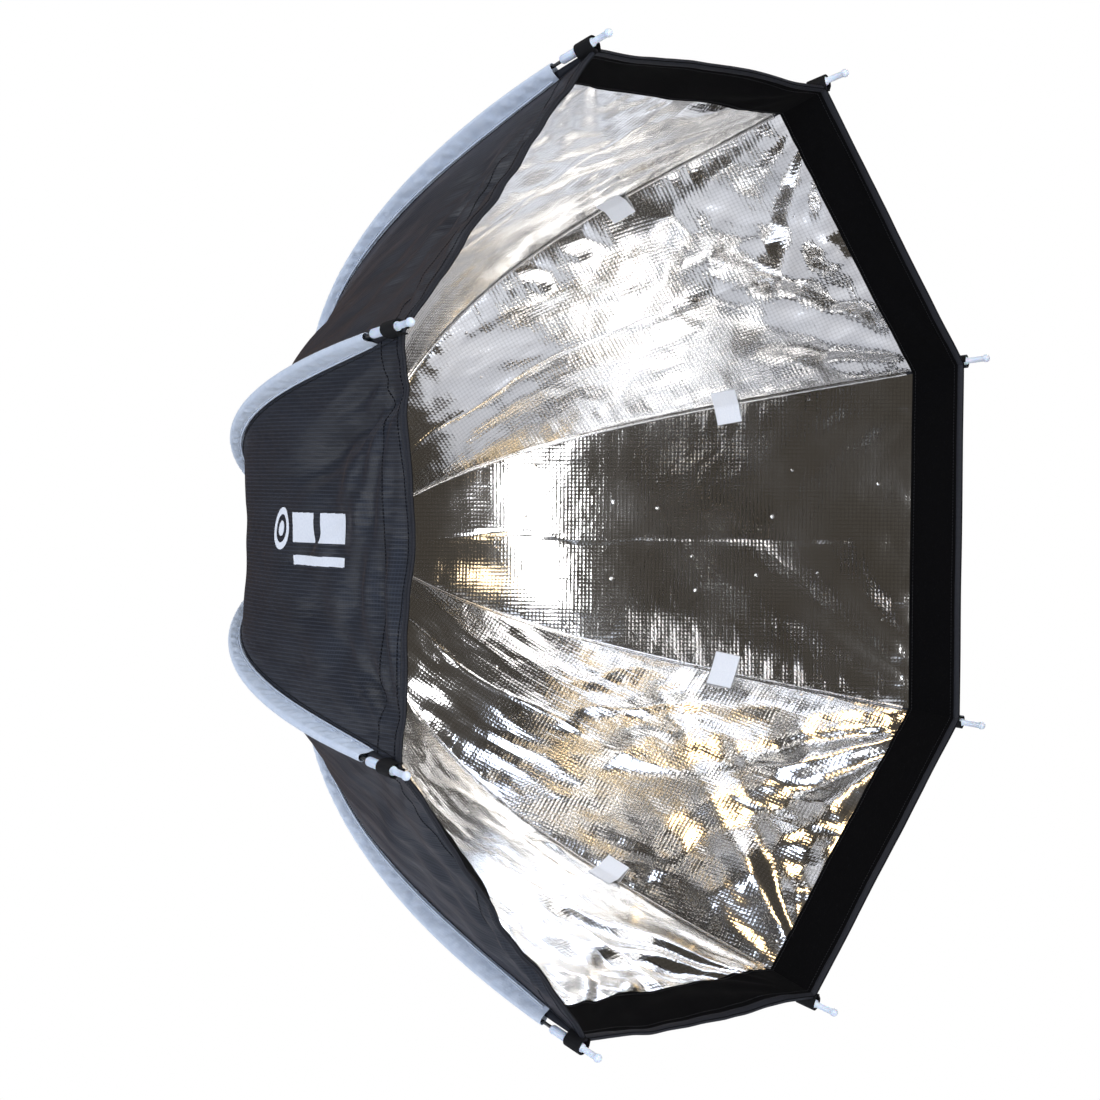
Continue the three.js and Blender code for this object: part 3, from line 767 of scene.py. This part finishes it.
fibre, tree, shader = start_material("black pultruded glass fibre", "#0c0c0e", Roughness=0.35)
place = add(tree, "ShaderNodeTexCoord").outputs["Object"]
strand = add(tree, "ShaderNodeTexNoise", {"Vector": place, "Scale": 1 / (3 * MM), "Detail": 2.0})
strand_bump = add(tree, "ShaderNodeBump", {"Strength": 0.6, "Distance": 0.1 * MM,
                                           "Height": strand.outputs["Fac"]})
tree.links.new(strand_bump.outputs[0], shader.inputs["Normal"])
strand_rough = add(tree, "ShaderNodeMapRange", {0: strand.outputs["Fac"], 3: 0.25, 4: 0.5})
tree.links.new(strand_rough.outputs[0], shader.inputs["Roughness"])
print("materials:", taffeta.name, "/", fibre.name)

# %% A strip folded over the rod
SIDE_COLUMNS = 8
OVER_COLUMNS = 11


def distance_to(line, points):
    return np.linalg.norm(points[:, None] - line[None, ::4], axis=-1).min(axis=1)


def folded_strip(name, number, share, over, foot, thick, wrinkle, material, lift=0.0):
    """over is the half width of the strip over the rod, and foot its half width at the seam."""
    centre, off = off_line(rod_line, share)
    gap = distance_to(seam_line, centre)
    down = np.linspace(-1, 0, SIDE_COLUMNS + 1)[:-1]
    arc = np.linspace(0, math.pi, OVER_COLUMNS)
    one_side = np.ones(SIDE_COLUMNS)
    column_down = np.concatenate([down, np.zeros(OVER_COLUMNS), down[::-1]])
    column_arc = np.concatenate([0 * one_side, arc, math.pi * one_side])
    left_right = np.concatenate([-one_side, -np.cos(arc), one_side])
    run = share[:, None] * ROD_LENGTH / MM

    def surface(grow):
        reach = (gap - lift)[:, None] * column_down[None, :]
        rise = reach + (over + grow) * np.sin(column_arc)[None, :]
        neck = foot + (over - foot) * smooth(1 + column_down, 0.0, 0.75)
        ripple = wrinkle * gradient_noise(run / 9 + rise / MM / 14, rise / MM / 30 + left_right * 7,
                                          number)
        gather = 0.25 * wrinkle * gradient_noise(run / 4.4 + rise / MM / 9, rise / MM / 12,
                                                 30 + number)
        gather = gather * (0.3 + smooth(run, 20, 70) * (1 - smooth(run, 230, 340)))
        ripple = ripple * np.sin(math.pi * np.clip(-column_down, 0, 1)) + gather
        side = left_right * (neck + grow) + ripple
        flat = np.concatenate([(centre[:, None] + rise[..., None] * off[:, None]),
                               np.broadcast_to(side, rise.shape)[..., None]], -1)
        return on_rib(number, flat), rise, side

    outer, rise, side = surface(thick / 2)
    inner = surface(-thick / 2)[0]
    rod_centre = on_rib(number, np.concatenate([centre + (gap * -0.35)[:, None] * off,
                                                0 * centre[:, :1]], -1))
    girth = np.cumsum(np.hypot(*np.diff(np.stack([rise[0], side[0]]), axis=1, prepend=0)))
    uv = np.stack(np.broadcast_arrays(girth[None, :], share[:, None] * ROD_LENGTH), -1)
    return cloth_mesh(name, outer, outer - rod_centre[:, None], uv, material, under=inner)


gap_half_way = distance_to(seam_line, at(rod_line, [0.5]))[0]
print("rod to seam at half length:", round(gap_half_way / MM, 1), "mm")

# %% Sleeves
SLEEVE_SPAN = (0.045, 0.914)
SLEEVE_OVER = 3.3 * MM
sleeve_share = np.linspace(*SLEEVE_SPAN, 190)
for number in range(1, RIBS + 1):
    sleeve = folded_strip(f"sleeve_{number}", number, sleeve_share, SLEEVE_OVER, 1.3 * MM,
                          0.5 * MM, 2.4 * MM, taffeta)
    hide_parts(f"rib_sleeve_{number}")
    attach(sleeve, f"rib_{number}")

# %% [markdown]
# ## Webbing loops and corner edges
#
# At each corner a loop of black webbing is sewn into the seam, and the tip of the rib is pushed
# through it, which pulls the cloth tight. The loop is the same folded strip as the sleeve, only
# short and thick. Between sleeve and loop the seam's bound edge stands up below the bare rod.

# %% Webbing loops and seam edges
LOOP_LENGTH = 19 * MM
BELOW_ROD = 4.7 * MM
loop_share = np.linspace(1 - LOOP_LENGTH / ROD_LENGTH, 1, 9)
loops, seam_edges = {}, {}
for number in range(1, RIBS + 1):
    loop = folded_strip(f"tip_loop_{number}", number, loop_share, 5.4 * MM, 2.6 * MM, 1.3 * MM,
                        0.5 * MM, black_webbing, lift=-3 * MM)
    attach(loop, f"rib_{number}")
    loops[number] = loop
    share = np.linspace(0.9, 1.0, 24)
    centre, off = off_line(seam_line, share)
    stand = np.clip(distance_to(rod_line, centre) - BELOW_ROD, 2 * MM, None)
    columns = np.array([(-0.1, -1.1), (0.8, -0.9), (1.0, 0.0), (0.8, 0.9), (-0.1, 1.1)])
    height = stand[:, None, None] * columns[None, :, :1]
    flat = np.concatenate([centre[:, None] + height * off[:, None],
                           np.broadcast_to(columns[None, :, 1:] * MM, (*height.shape[:2], 1))], -1)
    points = on_rib(number, flat)
    heart = points.mean(axis=1, keepdims=True)
    uv = np.stack(np.broadcast_arrays(columns[None, :, 0] * 4 * MM,
                                      share[:, None] * SEAM_LENGTH), -1)
    seam_edge = cloth_mesh(f"seam_edge_{number}", points, points - heart, uv, binding_tape,
                           round_joint=True)
    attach(seam_edge, f"rib_{number}")
    seam_edges[number] = seam_edge
print(len(loops), "loops,", LOOP_LENGTH / MM, "mm long")

# %% [markdown]
# ## White tips
#
# A moulded nylon tip ends each rod: a long ferrule, a thinner neck and a ball that keeps it in the
# loop. It is a turned shape, so it is made as a profile swept round the rod's end direction.

# %% Moulded nylon materials


def moulded(name, low, high, roughness, grain_mm):
    """Injection moulded plastic: a fine grain, and a slow change of tone."""
    material, tree, shader = start_material(name, high, Roughness=roughness)
    place = add(tree, "ShaderNodeTexCoord").outputs["Object"]
    fine = add(tree, "ShaderNodeTexNoise", {"Vector": place, "Scale": 1 / (grain_mm * MM),
                                            "Detail": 2.0})
    slow = add(tree, "ShaderNodeTexNoise", {"Vector": place, "Scale": 1 / (14 * MM),
                                            "Detail": 3.0})
    bump = add(tree, "ShaderNodeBump", {"Strength": 0.6, "Distance": 0.08 * MM,
                                        "Height": fine.outputs["Fac"]})
    tree.links.new(bump.outputs[0], shader.inputs["Normal"])
    tone = add(tree, "ShaderNodeMix", {0: slow.outputs["Fac"], 6: linear(low), 7: linear(high)},
               data_type="RGBA")
    tree.links.new(tone.outputs[2], shader.inputs["Base Color"])
    gloss = add(tree, "ShaderNodeMapRange", {0: fine.outputs["Fac"], 3: roughness - 0.08,
                                             4: roughness + 0.12})
    tree.links.new(gloss.outputs[0], shader.inputs["Roughness"])
    return material


white_nylon = moulded("moulded white nylon", "#d2deee", "#e6eff9", 0.38, 0.9)
white_nylon.node_tree.nodes["Principled BSDF"].inputs["Subsurface Weight"].default_value = 0.15
white_nylon.node_tree.nodes["Principled BSDF"].inputs["Subsurface Scale"].default_value = 1 * MM
print("tip material:", white_nylon.name)

# %% Tips
BALL_AT = 18.4
BALL_R = 3.8
NECK_R = 2.8
profile = [(-40.0, 1.7), (-40.0, 2.9), (-39.5, 3.6), (-38.4, 4.0), (-30, 4.0), (-20, 4.0),
           (-10, 4.0), (-1.4, 4.0), (-0.5, 3.8), (0.0, 3.3), (0.3, NECK_R), (7, NECK_R)]
neck_end = math.acos(NECK_R / BALL_R)
for a in np.linspace(math.pi / 2 + neck_end, 0, 12):
    profile.append((BALL_AT + BALL_R * math.cos(a), BALL_R * math.sin(a)))
profile = np.array(profile) * MM
for number in range(1, RIBS + 1):
    base = on_rib(number, [*rod_line[-1], 0])
    axis = on_rib(number, [*heading(rod_line, 1.0), 0])
    turn_1 = sideways(rib_angle(number))
    turn_2 = np.cross(axis, turn_1)
    spin = np.linspace(0, 2 * math.pi, 28, endpoint=False)
    rim_way = np.cos(spin)[:, None] * turn_1 + np.sin(spin)[:, None] * turn_2
    points = base + profile[:, :1, None] * axis + profile[:, 1:, None] * rim_way[None]
    heart = base + profile[:, :1, None] * axis
    uv = np.stack(np.broadcast_arrays(spin[None, :] * 4 * MM, profile[:, :1]), -1)
    tip = cloth_mesh(f"tip_{number}", points, points - heart - 0.001 * axis, uv, white_nylon,
                     round_joint=True)
    tip.data.set_sharp_from_angle(angle=math.radians(60))
    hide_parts(f"rib_tip_{number}")
    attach(tip, f"rib_{number}")
print("tip", (profile[-1, 0] - profile[0, 0]).round(4), "m long")

# %% [markdown]
# ## Tubes and stitches from Geometry Nodes
#
# Two things follow a path and nothing else: round tubes (the rods and the piping of the seams) and
# rows of stitches. Each is a small Geometry Nodes tree. The first sweeps a circle along the path.
# The second cuts the path at the stitch pitch and sets one capsule of thread on each point, turned
# along the path. Both end in plain meshes, because the export keeps no instances.

# %% Geometry Nodes trees


def start_tree(name, sizes):
    tree = bpy.data.node_groups.new(name, "GeometryNodeTree")
    tree.interface.new_socket("Path", in_out="INPUT", socket_type="NodeSocketGeometry")
    for label, kind in sizes:
        tree.interface.new_socket(label, in_out="INPUT", socket_type=kind)
    tree.interface.new_socket("Piece", in_out="OUTPUT", socket_type="NodeSocketGeometry")
    return tree, tree.nodes.new("NodeGroupInput"), tree.nodes.new("NodeGroupOutput")


tube_tree, given, result = start_tree("tube along a path", [
    ("Radius", "NodeSocketFloat"), ("Sides", "NodeSocketInt"), ("Finish", "NodeSocketMaterial")])
path = add(tube_tree, "GeometryNodeMeshToCurve", {"Mesh": given.outputs["Path"]})
circle = add(tube_tree, "GeometryNodeCurvePrimitiveCircle", {
    "Resolution": given.outputs["Sides"], "Radius": given.outputs["Radius"]})
measured = []
for curve in (path.outputs[0], circle.outputs["Curve"]):
    keep = tube_tree.nodes.new("GeometryNodeCaptureAttribute")
    keep.capture_items.new("FLOAT", "Run")
    run = add(tube_tree, "GeometryNodeSplineParameter")
    tube_tree.links.new(curve, keep.inputs["Geometry"])
    tube_tree.links.new(run.outputs["Length"], keep.inputs["Run"])
    measured.append(keep)
swept = add(tube_tree, "GeometryNodeCurveToMesh", {
    "Curve": measured[0].outputs["Geometry"], "Profile Curve": measured[1].outputs["Geometry"],
    "Fill Caps": True})
unrolled = add(tube_tree, "ShaderNodeCombineXYZ", {
    "X": measured[1].outputs["Run"], "Y": measured[0].outputs["Run"]})
mapped = add(tube_tree, "GeometryNodeStoreNamedAttribute", {
    "Geometry": swept.outputs[0], "Name": UV_NAME, "Value": unrolled.outputs[0]},
    data_type="FLOAT2", domain="CORNER")
rounded = add(tube_tree, "GeometryNodeSetShadeSmooth", {0: mapped.outputs[0]})
real = add(tube_tree, "GeometryNodeRealizeInstances", {0: rounded.outputs[0]})
finished = add(tube_tree, "GeometryNodeSetMaterial", {
    "Geometry": real.outputs[0], "Material": given.outputs["Finish"]})
tube_tree.links.new(finished.outputs[0], result.inputs[0])

stitch_tree, given, result = start_tree("stitches along a path", [
    ("Pitch", "NodeSocketFloat"), ("Thread", "NodeSocketFloat"), ("Stitch", "NodeSocketFloat"),
    ("Finish", "NodeSocketMaterial")])
path = add(stitch_tree, "GeometryNodeMeshToCurve", {"Mesh": given.outputs["Path"]})
cut = add(stitch_tree, "GeometryNodeResampleCurve", {
    "Curve": path.outputs[0], "Length": given.outputs["Pitch"]}, mode="LENGTH")
bead = add(stitch_tree, "GeometryNodeMeshUVSphere", {"Segments": 6, "Rings": 5, "Radius": 0.5})
size = add(stitch_tree, "ShaderNodeCombineXYZ", {
    "X": given.outputs["Thread"], "Y": given.outputs["Thread"], "Z": given.outputs["Stitch"]})
thread_map = add(stitch_tree, "ShaderNodeVectorMath", {
    0: bead.outputs["UV Map"], 1: (3 * MM, 3 * MM, 0.0)}, operation="MULTIPLY")
mapped = add(stitch_tree, "GeometryNodeStoreNamedAttribute", {
    "Geometry": bead.outputs["Mesh"], "Name": UV_NAME, "Value": thread_map.outputs[0]},
    data_type="FLOAT2", domain="CORNER")
capsule = add(stitch_tree, "GeometryNodeTransform", {
    "Geometry": mapped.outputs[0], "Scale": size.outputs[0]})
tangent = add(stitch_tree, "GeometryNodeInputTangent")
turned = add(stitch_tree, "FunctionNodeAlignRotationToVector", {"Vector": tangent.outputs[0]},
             axis="Z")
row = add(stitch_tree, "GeometryNodeInstanceOnPoints", {
    "Points": cut.outputs[0], "Instance": capsule.outputs[0], "Rotation": turned.outputs[0]})
real = add(stitch_tree, "GeometryNodeRealizeInstances", {0: row.outputs[0]})
rounded = add(stitch_tree, "GeometryNodeSetShadeSmooth", {0: real.outputs[0]})
finished = add(stitch_tree, "GeometryNodeSetMaterial", {
    "Geometry": rounded.outputs[0], "Material": given.outputs["Finish"]})
stitch_tree.links.new(finished.outputs[0], result.inputs[0])
print("trees:", tube_tree.name, "/", stitch_tree.name)

# %% Run a tree on paths


def grown(name, tree, paths, **sizes):
    """paths is a list of arrays of points. The result is a plain mesh object."""
    points = np.concatenate(paths)
    edges, first = [], 0
    for one in paths:
        edges += [(first + i, first + i + 1) for i in range(len(one) - 1)]
        first += len(one)
    line = bpy.data.meshes.new(name + " path")
    line.from_pydata(points, edges, [])
    seed = bpy.data.objects.new(name + " path", line)
    bpy.context.scene.collection.objects.link(seed)
    modifier = seed.modifiers.new("grow", "NODES")
    modifier.node_group = tree
    names = {item.name: item.identifier for item in tree.interface.items_tree
             if item.in_out == "INPUT"}
    for label, value in sizes.items():
        modifier[names[label]] = value
    seed.update_tag()
    depsgraph = bpy.context.evaluated_depsgraph_get()
    mesh = bpy.data.meshes.new_from_object(seed.evaluated_get(depsgraph))
    mesh.name = name
    made = bpy.data.objects.new(name, mesh)
    bpy.context.scene.collection.objects.link(made)
    bpy.data.objects.remove(seed)
    bpy.data.meshes.remove(line)
    return made


print("a tube takes:", [item.name for item in tube_tree.interface.items_tree
                        if item.in_out == "INPUT"])

# %% Rods
ROD_R = 1.5 * MM
rod_share = np.linspace(0.035, 0.985, 120)
for number in range(1, RIBS + 1):
    path = on_rib(number, np.concatenate([at(rod_line, rod_share), 0 * rod_share[:, None]], -1))
    rod = grown(f"rod_{number}", tube_tree, [path], Radius=ROD_R, Sides=16, Finish=fibre)
    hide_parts(f"rib_rod_{number}")
    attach(rod, f"rib_{number}")
print("rod", round(2 * ROD_R / MM, 1), "mm thick")

# %% [markdown]
# ## Seams
#
# On the inside, each seam shows as a thin bright ridge of the folded film. On the outside, the
# sleeve's lower hem makes a pale line on each side. Both are narrow tubes on the seam curve.

# %% Inner seam ridges and outer hems
seam_share = np.linspace(0.02, 0.905, 150)
hem_share = np.linspace(0.05, 0.905, 140)
HEM_ASIDE = (-2.6 * MM, 2.6 * MM)
ridges, hems = {}, {}


def beside_seam(number, share, off_seam, aside):
    centre, off = off_line(seam_line, share)
    flat = np.concatenate([centre + off_seam * off, np.full((len(share), 1), aside)], -1)
    return on_rib(number, flat)


for number in range(1, RIBS + 1):
    ridge = grown(f"seam_ridge_{number}", tube_tree,
                  [beside_seam(number, seam_share, -1.4 * MM, 0.0)],
                  Radius=1.2 * MM, Sides=10, Finish=silver)
    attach(ridge, f"rib_{number}")
    ridges[number] = ridge
    hem = grown(f"sleeve_hem_{number}", tube_tree,
                [beside_seam(number, hem_share, 2.2 * MM, aside) for aside in HEM_ASIDE],
                Radius=0.9 * MM, Sides=8, Finish=taffeta)
    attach(hem, f"rib_{number}")
    hems[number] = hem
print(len(ridges), "ridges and", len(hems), "hems")

# %% [markdown]
# ## Tabs
#
# Part of the way down each seam sits a small white patch of soft tape, sewn across the seam, which
# an inner baffle is fastened to. It lies on both gores and creases along the seam.

# %% Tabs
white_tape, tree, shader = start_material("white brushed tape", "#eef2fa", Roughness=0.85,
                                          Sheen_Weight=0.3)
place = add(tree, "ShaderNodeTexCoord").outputs["UV"]
nap = add(tree, "ShaderNodeTexNoise", {"Vector": place, "Scale": 1 / (1.4 * MM), "Detail": 3.0})
nap_bump = add(tree, "ShaderNodeBump", {"Strength": 1.0, "Distance": 0.25 * MM,
                                        "Height": nap.outputs["Fac"]})
tree.links.new(nap_bump.outputs[0], shader.inputs["Normal"])
nap_tint = add(tree, "ShaderNodeMix", {0: nap.outputs["Fac"], 6: linear("#dfe5f0"),
                                       7: linear("#f6f9fd")}, data_type="RGBA")
tree.links.new(nap_tint.outputs[2], shader.inputs["Base Color"])

TAB_LONG = 24 * MM
TAB_WIDE = 33 * MM
TAB_RADIUS = 0.343
tab_at = float(np.interp(TAB_RADIUS, seam_line[:, 0], np.linspace(0, 1, STEPS)))
for number in range(1, RIBS + 1):
    rows = np.linspace(-0.5, 0.5, 9) * TAB_LONG / SEAM_LENGTH + tab_at
    columns = np.linspace(-0.5, 0.5, 15) * TAB_WIDE
    (seam, off), way = off_line(seam_line, rows), heading(seam_line, rows)
    lean = math.tan(HALF_ANGLE) * 0.8
    sag = -np.abs(columns) * lean - 3.2 * MM - 1.2 * MM * np.cos(columns / TAB_WIDE * math.pi)
    skew = (number % 3 - 1) * 0.05

    def patch(extra):
        flat = seam[:, None] + (sag[None, :, None] + extra) * off[:, None]
        flat = flat + (skew * columns)[None, :, None] * way[:, None]
        side = np.broadcast_to(columns[None, :, None], (len(rows), len(columns), 1))
        return on_rib(number, np.concatenate([flat, side], -1))

    facing = -on_rib(number, [*off[len(rows) // 2], 0])
    uv = np.stack(np.broadcast_arrays(columns[None, :], rows[:, None] * SEAM_LENGTH), -1)
    tab = cloth_mesh(f"tab_{number}", patch(-0.6 * MM), facing, uv, white_tape,
                     under=patch(0.6 * MM))
    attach(tab, f"rib_{number}")
print("tab at", round(tab_at, 3), "of the seam")

# %% [markdown]
# ## Stitches
#
# Black thread holds the band and the binding, and runs on both sides of each seam. White thread
# closes the sleeves above the seam. A stitch is 2.5 mm long every 3 mm, a usual setting for tape.

# %% Thread materials and stitch rows
black_thread = ribbed_tape("black bonded thread", "#08080a", "#1d1e22", 0.4 * MM, 0.05 * MM, 0.5)
white_thread = ribbed_tape("white bonded thread", "#cfd6de", "#f4f7fa", 0.4 * MM, 0.05 * MM, 0.5)
PITCH = 3.0 * MM
THREAD = 0.9 * MM
STITCH = 2.5 * MM


def cloth_row(number, side, rim_distance, rise):
    share = np.linspace(0.012, 1, 60)
    return gore_points(number, side, share, 1 - rim_distance / SEAM_LENGTH, rise)


for number, side in HALVES:
    share = np.linspace(0.05, 0.985, 120)
    seam_width = at(seam_line, share)[:, 0] * math.sin(HALF_ANGLE)
    rows = [cloth_row(number, side, 42 * MM, COVER_RISE + 0.4 * MM),
            cloth_row(number, side, 9 * MM, COVER_RISE + 0.4 * MM),
            cloth_row(number, side, BAND_WIDTH - 3 * MM, -2.4 * MM),
            cloth_row(number, side, 9 * MM, -2.4 * MM),
            gore_points(number, side, 5 * MM / seam_width, share, COVER_RISE + 0.4 * MM)]
    stitches = grown(f"stitches_{number}{side}", stitch_tree, rows, Pitch=PITCH, Thread=THREAD,
                     Stitch=STITCH, Finish=black_thread)
    bend_with_gore(stitches)
print("stitch rows on", len(HALVES), "halves,", len(stitches.data.polygons), "faces on the last")

# %% Sleeve stitches
for number in range(1, RIBS + 1):
    share = np.linspace(0.06, 0.905, 140)
    rows = [beside_seam(number, share, 4.0 * MM, aside) for aside in HEM_ASIDE]
    stitches = grown(f"sleeve_stitches_{number}", stitch_tree, rows, Pitch=PITCH, Thread=THREAD,
                     Stitch=STITCH, Finish=white_thread)
    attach(stitches, f"rib_{number}")
print("white rows on", RIBS, "sleeves")

# %% [markdown]
# ## Printed mark
#
# One panel carries a plain printed mark: a ring with a dot in it, and bars beside it. Screen ink
# lies on the cloth as a thin film, so it is a very thin grid that follows the cover's folds, with
# the cells outside the mark left out.

# %% Screen print
ink, tree, shader = start_material("white screen print ink", "#f1f3f6", Roughness=0.6)
place = add(tree, "ShaderNodeTexCoord").outputs["UV"]
crack = add(tree, "ShaderNodeTexNoise", {"Vector": place, "Scale": 1 / (2.2 * MM), "Detail": 4.0})
ink_tone = add(tree, "ShaderNodeMix", {0: crack.outputs["Fac"], 6: linear("#dde1e6"),
                                       7: linear("#fbfcfd")}, data_type="RGBA")
tree.links.new(ink_tone.outputs[2], shader.inputs["Base Color"])
ink_bump = add(tree, "ShaderNodeBump", {"Strength": 0.5, "Distance": 0.1 * MM,
                                        "Height": crack.outputs["Fac"]})
tree.links.new(ink_bump.outputs[0], shader.inputs["Normal"])

RING_AT = (-0.235, 0.012)
RING_R, RING_HOLE, DOT_R = 18 * MM, 12 * MM, 6.5 * MM
BARS = [(-0.305, -0.262, 0.001, 0.026), (-0.362, -0.316, 0.001, 0.026),
        (-0.362, -0.262, -0.018, -0.010)]


def in_mark(y, z):
    away = np.hypot(y - RING_AT[0], z - RING_AT[1])
    mark = (away < RING_R) & (away > RING_HOLE) | (away < DOT_R)
    for y0, y1, z0, z1 in BARS:
        mark = mark | (y > y0) & (y < y1) & (z > z0) & (z < z1)
    return mark


for number, side in ((4, "b"), (5, "a")):
    share = np.linspace(0.7, 1, 90)[None, :]
    along = np.linspace(0.5, 0.88, 420)[:, None]
    points = gore_points(number, side, share, along, COVER_RISE + 0.35 * MM)
    uv = gore_uv(side, share, along)
    print_piece = cloth_mesh(f"print_{number}{side}", points, half_middle(number, side), uv, ink)
    mesh = print_piece.data
    middles = np.array([face.center for face in mesh.polygons])
    outside = np.flatnonzero(~in_mark(middles[:, 1], middles[:, 2]))
    cut = bmesh.new()
    cut.from_mesh(mesh)
    cut.faces.ensure_lookup_table()
    bmesh.ops.delete(cut, geom=[cut.faces[i] for i in outside], context="FACES")
    cut.to_mesh(mesh)
    cut.free()
    bend_with_gore(print_piece)
    print(print_piece.name, len(mesh.polygons), "cells of ink")

# %% [markdown]
# ## Hub
#
# The hub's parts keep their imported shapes. The hub and its sockets are glass-filled nylon, moulded
# with a fine texture that hides the fibres. The bayonet ring is turned aluminium, so its bump is
# fine rings round the axis. The screws and the hinge wire are zinc-plated steel, with a slightly
# blue, patchy gloss.

# %% Hub materials
hub_plastic = moulded("glass-filled black nylon", "#141518", "#212327", 0.5, 1.1)
red_plastic = moulded("moulded red ABS", "#8e1c1c", "#b52a26", 0.35, 1.2)


def turned_metal(name, colour, roughness, ring_pitch):
    """Metal from a lathe: fine rings round the Y axis, and patches of duller metal."""
    material, tree, shader = start_material(name, colour, Metallic=1.0, Roughness=roughness)
    place = add(tree, "ShaderNodeTexCoord").outputs["Object"]
    flat = add(tree, "ShaderNodeVectorMath", {0: place, 1: (1.0, 0.0, 1.0)},
               operation="MULTIPLY")
    away = add(tree, "ShaderNodeVectorMath", {0: flat.outputs[0]}, operation="LENGTH")
    groove = waves(tree, away.outputs["Value"], ring_pitch / 2)
    patch = add(tree, "ShaderNodeTexNoise", {"Vector": place, "Scale": 1 / (7 * MM),
                                             "Detail": 4.0})
    bump = add(tree, "ShaderNodeBump", {"Strength": 0.5, "Distance": 0.02 * MM,
                                        "Height": groove})
    tree.links.new(bump.outputs[0], shader.inputs["Normal"])
    dull = add(tree, "ShaderNodeMapRange", {0: patch.outputs["Fac"], 3: roughness - 0.08,
                                            4: roughness + 0.14})
    tree.links.new(dull.outputs[0], shader.inputs["Roughness"])
    return material


anodised = turned_metal("turned clear-anodised aluminium", "#c9ccd0", 0.3, 0.7 * MM)
zinc = turned_metal("zinc-plated steel", "#b9bec6", 0.32, 0.5 * MM)
print("hub materials:", hub_plastic.name, "/", anodised.name, "/", zinc.name)

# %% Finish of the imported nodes
finishes = {"hub_body": hub_plastic, "hub_cover": hub_plastic, "lock_collar": hub_plastic,
            "bayonet_ring": anodised, "hinge_wire": zinc, "button_spring": zinc,
            "release_button": red_plastic}
finishes.update({f"ring_screw_{n}": zinc for n in range(1, 5)})
finishes.update({f"rib_socket_{n}": hub_plastic for n in range(1, RIBS + 1)})
for node, material in finishes.items():
    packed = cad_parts[node]
    for place in packed.material_slots:
        place.material = material
    if not packed.material_slots:
        print("no material slot on", node)
print(len(finishes), "packed nodes keep their shape")

# %% [markdown]
# ## Cloth facts
#
# The cell below declares nothing. It only prints a count of cloth pieces: three for each half gore
# and three for each rib.

# %% Sheets
for number in range(1, RIBS + 1):
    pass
print("sheets:", 3 * len(HALVES) + 3 * RIBS)

# %% The end
bpy.context.view_layer.update()
